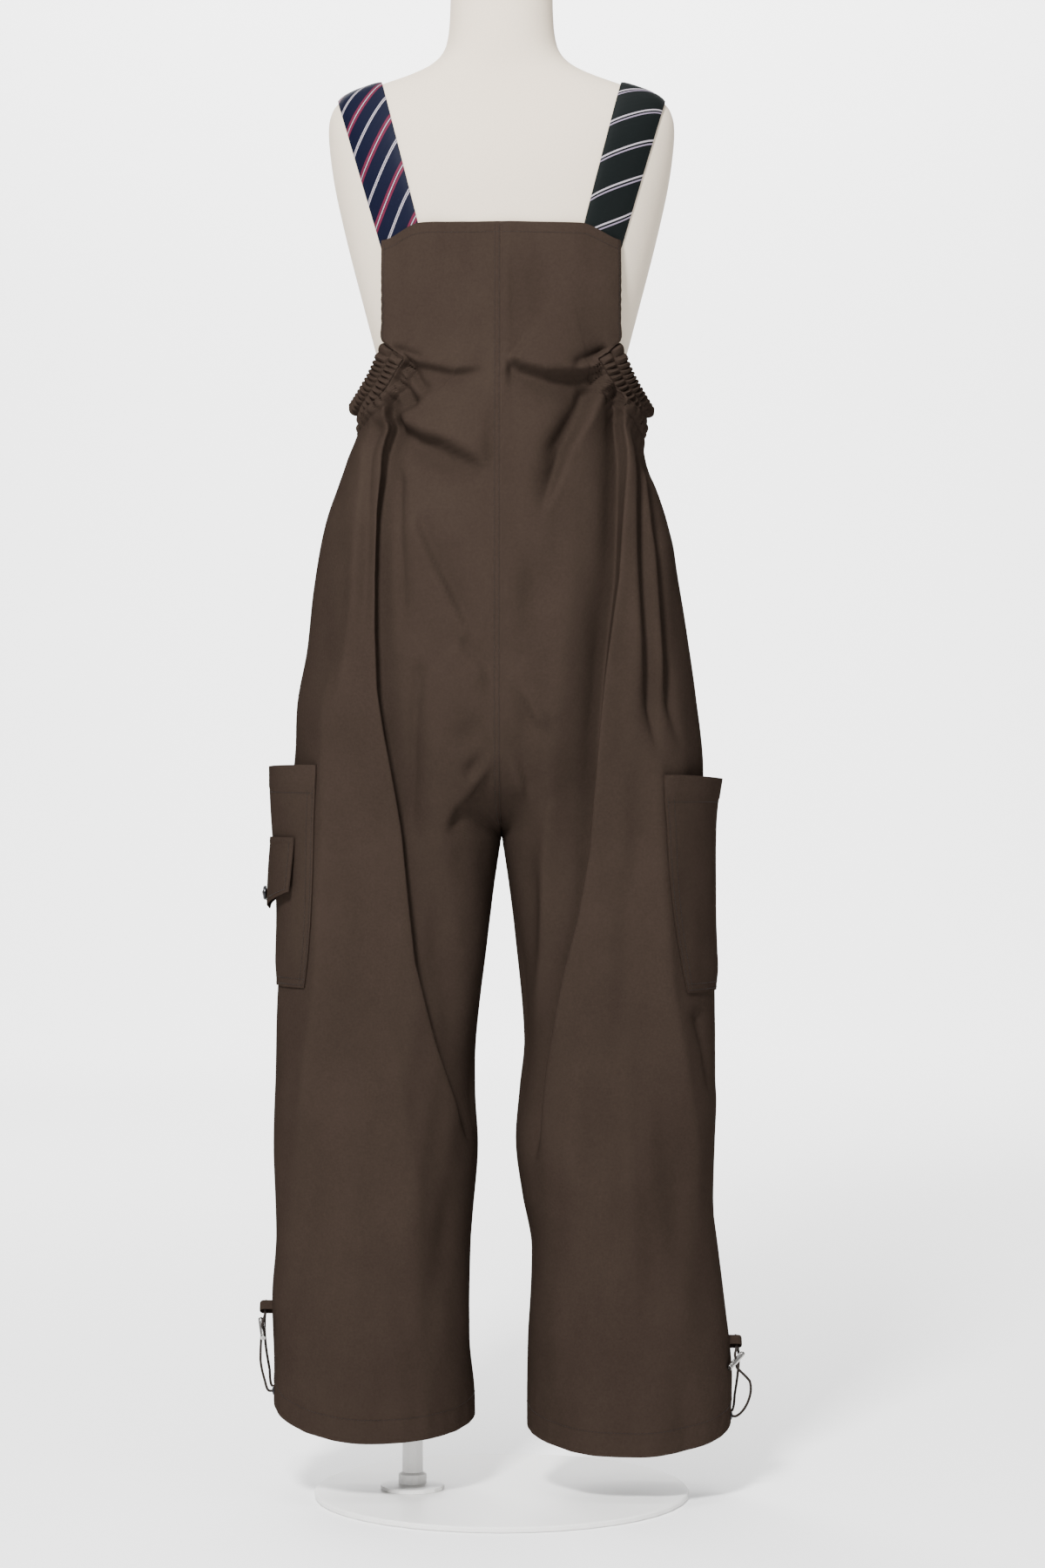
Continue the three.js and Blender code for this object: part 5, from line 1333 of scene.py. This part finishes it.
def bar(side):
    centre, axis, length, _ = bar_frame(side)
    end, groove = length / 2, 0.35
    shape = [(0, -end), (BAR_RADIUS, -end), (BAR_RADIUS, -end + 4), (BAR_RADIUS - groove, -end + 4.4),
             (BAR_RADIUS - groove, -end + 5), (BAR_RADIUS, -end + 5.4), (BAR_RADIUS, end - 5.4),
             (BAR_RADIUS - groove, end - 5), (BAR_RADIUS - groove, end - 4.4), (BAR_RADIUS, end - 4),
             (BAR_RADIUS, end), (0, end)]
    return lathe(f"toggle_{SIDE_NAME[side]}", rounded(shape, 0.5), 48, centre, axis, steel,
                 f"bar_toggle_{SIDE_NAME[side]}")


def smooth_curve(points, per_span=14):
    """Centripetal curve through the points, as a dense line."""
    points = [np.array(p, float) for p in points]
    points = [2 * points[0] - points[1]] + points + [2 * points[-1] - points[-2]]
    line = []
    for k in range(1, len(points) - 2):
        p = points[k - 1 : k + 3]
        knots = [0.0]
        for a, b in zip(p[:-1], p[1:]):
            knots.append(knots[-1] + max(np.linalg.norm(b - a), 1e-6) ** 0.5)
        for t in np.linspace(knots[1], knots[2], per_span + 1)[:-1]:
            level = list(p)
            for order in (1, 2, 3):
                level = [
                    (knots[i + order] - t) / (knots[i + order] - knots[i]) * level[i]
                    + (t - knots[i]) / (knots[i + order] - knots[i]) * level[i + 1]
                    for i in range(len(level) - 1)
                ]
            line.append(level[0])
    line.append(points[-2])
    return np.array(line)


def hem_cord(side):
    def place(spot):
        return np.array(spot, float) * [side, 1, 1]

    (start, start_out), (end, end_out) = eyelet_seat(side, BACK), eyelet_seat(side, FRONT)
    centre, _, _, bore = bar_frame(side)
    seat = tab_seat(side)
    resting = TAPE + CORD_RADIUS + 0.6 - TAB_HIGH / 2
    through = TAB_WIDTH / 2 + 1.5
    route = [start, start + 5 * start_out]
    route += [place(spot) for spot in CORD_ROUTES[side]["rising"]]
    route += [centre + bore * step for step in (-8, -3.5, 3.5, 7)]
    route += [seat + [side * TAB_DEEP / 2, *tilted(y, resting)] for y in (-through, through)]
    route += [seat + [side * TAB_DEEP / 2, 13, 3.5]]
    route += [place(spot) for spot in CORD_ROUTES[side]["falling"]]
    route += [end + 5 * end_out, end]
    line = smooth_curve(route)
    curve = bpy.data.curves.new(f"elastic_cord_{SIDE_NAME[side]}", "CURVE")
    curve.dimensions = "3D"
    curve.bevel_depth = CORD_RADIUS * MM
    curve.bevel_resolution = 5
    curve.use_fill_caps = True
    spline = curve.splines.new("POLY")
    spline.points.add(len(line) - 1)
    spline.points.foreach_set("co", np.concatenate([line * MM, np.ones((len(line), 1))], axis=1).ravel())
    curve.materials.append(cord_cover)
    obj = bpy.data.objects.new(f"elastic_cord_{SIDE_NAME[side]}", curve)
    bpy.context.scene.collection.objects.link(obj)
    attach(obj, "root")
    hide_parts(f"hem_cord_{SIDE_NAME[side]}")
    toggle = bar(side)


# Stitches lie on the cloth as short rounded threads
STITCH_LONG, STITCH_PITCH, STITCH_RADIUS = 2.7, 3.5, 0.28


def stitch_row(line, normals):
    """Places and directions of the stitches along a line of points with outward normals."""
    steps = np.linalg.norm(np.diff(line, axis=0), axis=1)
    reach = np.concatenate([[0.0], np.cumsum(steps)])
    spots = np.arange(STITCH_PITCH / 2, reach[-1] - STITCH_LONG / 2, STITCH_PITCH)

    def at(where, values):
        return np.stack([np.interp(where, reach, values[:, k]) for k in range(3)], axis=-1)

    start, end = at(spots - STITCH_LONG / 2, line), at(spots + STITCH_LONG / 2, line)
    return start, end, unit(at(spots, normals))


def stitches(name, rows):
    """One mesh of all the stitches in the rows."""
    start, end, normal = (np.concatenate(part) for part in zip(*[stitch_row(*row) for row in rows]))
    along_thread = unit(end - start)
    sideways = unit(np.cross(normal, along_thread))
    rings = [(0.0, 0.15, -0.1), (0.12, 0.8, 0.12), (0.5, 1.0, 0.22), (0.88, 0.8, 0.12), (1.0, 0.15, -0.1)]
    around = 6
    points = []
    for share, size, lift in rings:
        middle = mix(start, end, share) + normal * lift
        for k in range(around):
            angle = 2 * math.pi * k / around
            offset = (sideways * math.cos(angle) + normal * math.sin(angle)) * STITCH_RADIUS * size
            points.append(middle + offset)
    points = np.stack(points, axis=1)
    count = len(start)
    quads = []
    for i in range(len(rings) - 1):
        for k in range(around):
            a, b = i * around + k, i * around + (k + 1) % around
            quads.append([a, a + around, b + around, b])
    last = (len(rings) - 1) * around
    quads += [[0, 1, 2, 3], [0, 3, 4, 5], [last + 3, last + 2, last + 1, last], [last + 5, last + 4, last + 3, last]]
    quads = np.array(quads)
    base = (np.arange(count) * around * len(rings))[:, None, None]
    quads = (quads[None, :, :] + base).reshape(-1, 4)
    obj = mesh_object(name, points.reshape(-1, 3), quads, None, thread)
    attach(obj, "root")


def cloth_line(side, face, t, z):
    t, z = np.broadcast_arrays(np.asarray(t, float), np.asarray(z, float))
    points = keep_gap(cloth_point(side, face, t, z), side, face)
    normals = normal_of(lambda a, b: cloth_point(side, face, a, b), side, face, t, z)
    return points + normals * 0.05, normals


def share_at(side, face, distance, z):
    """Share t at which a panel is this far from its inner edge along the row."""
    t = np.linspace(0, 0.5, 201)
    result = []
    for level in np.atleast_1d(z):
        row = plain_point(side, face, t, level)
        reach = np.concatenate([[0], np.cumsum(np.linalg.norm(np.diff(row, axis=0), axis=1))])
        result.append(np.interp(distance, reach, t))
    return np.array(result)


def seam_stitches():
    rows = []
    for face in (BACK, FRONT):
        top = BIB_TOP[face]
        z = np.linspace(CROTCH_Z + 14, top - 2, 260)
        for distance in (2.0, 6.6):
            rows.append(cloth_line(LEFT, face, share_at(LEFT, face, distance, z), z))
        for side in (LEFT, RIGHT):
            t = np.linspace(0.004, 0.985, 120)
            rows.append(cloth_line(side, face, t, np.full(t.shape, top - 11.0)))
            edge_z = np.linspace(BIB_EDGE_Z + 3, top - 2, 60)
            rows.append(cloth_line(side, face, np.full(edge_z.shape, 0.965), edge_z))
            t = np.linspace(0.004, 0.996, 220)
            rows.append(cloth_line(side, face, t, np.full(t.shape, HEM_LIFT[side][0] + 25.0)))
    stitches("seam_stitches", rows)


def pocket_line(side, p, h):
    p, h = np.broadcast_arrays(np.asarray(p, float), np.asarray(h, float))
    scoop = POCKET_SCOOP[side]

    def surface(a, b):
        spot = pocket_point(side, a, b, pocket_slack(side, a, b) + CLOTH)
        spot[..., 2] -= scoop * np.sin(math.pi * a) ** 2 * ease((b - 0.8) / 0.2)
        return spot

    across = surface(p + 0.004, h) - surface(p - 0.004, h)
    up = surface(p, h + 0.004) - surface(p, h - 0.004)
    normals = unit(np.cross(across, up) * side)
    return surface(p, h) + normals * 0.1, normals


def pocket_stitches():
    rows = []
    for side in (LEFT, RIGHT):
        h = np.linspace(0.02, 0.99, 90)
        for p in (0.012, 0.045):
            rows.append(pocket_line(side, np.full(h.shape, p), h))
            rows.append(pocket_line(side, np.full(h.shape, 1 - p), h))
        p = np.linspace(0.01, 0.99, 90)
        for level in (0.012, 0.04, 0.875):
            rows.append(pocket_line(side, p, np.full(p.shape, level)))
    p = np.linspace(FLAP_FROM + 0.03, FLAP_TO - 0.03, 40)
    w = np.linspace(0.03, 0.93, 30)

    def flap_surface(a, b):
        belly = 1.2 * np.sin(math.pi * b) * np.sin(math.pi * (a - FLAP_FROM) / (FLAP_TO - FLAP_FROM))
        return flap_point(a, b, CLOTH + belly + 0.1)

    for a, b in ((p, np.full(p.shape, 0.93)), (p, np.full(p.shape, 0.06)),
                 (np.full(w.shape, p[0]), w), (np.full(w.shape, p[-1]), w)):
        across = flap_surface(a + 0.004, b) - flap_surface(a - 0.004, b)
        up = flap_surface(a, b - 0.004) - flap_surface(a, b + 0.004)
        rows.append((flap_surface(a, b), unit(np.cross(up, across))))
    stitches("pocket_stitches", rows)


def dress_stand():
    for name in ("stand_plate", "stand_pole"):
        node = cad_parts[name]
        node.data.materials.clear()
        node.data.materials.append(stand_paint)


make_camera()
for side in (LEFT, RIGHT):
    hem_cord(side)
make_studio()
make_form()
dress_stand()
for side in (LEFT, RIGHT):
    for face in (BACK, FRONT):
        panel(side, face)
        eyelet(side, face)
    band(side)
    strap(side)
    pocket(side)
    tab(side)
flap()
snap()
seam_stitches()
pocket_stitches()
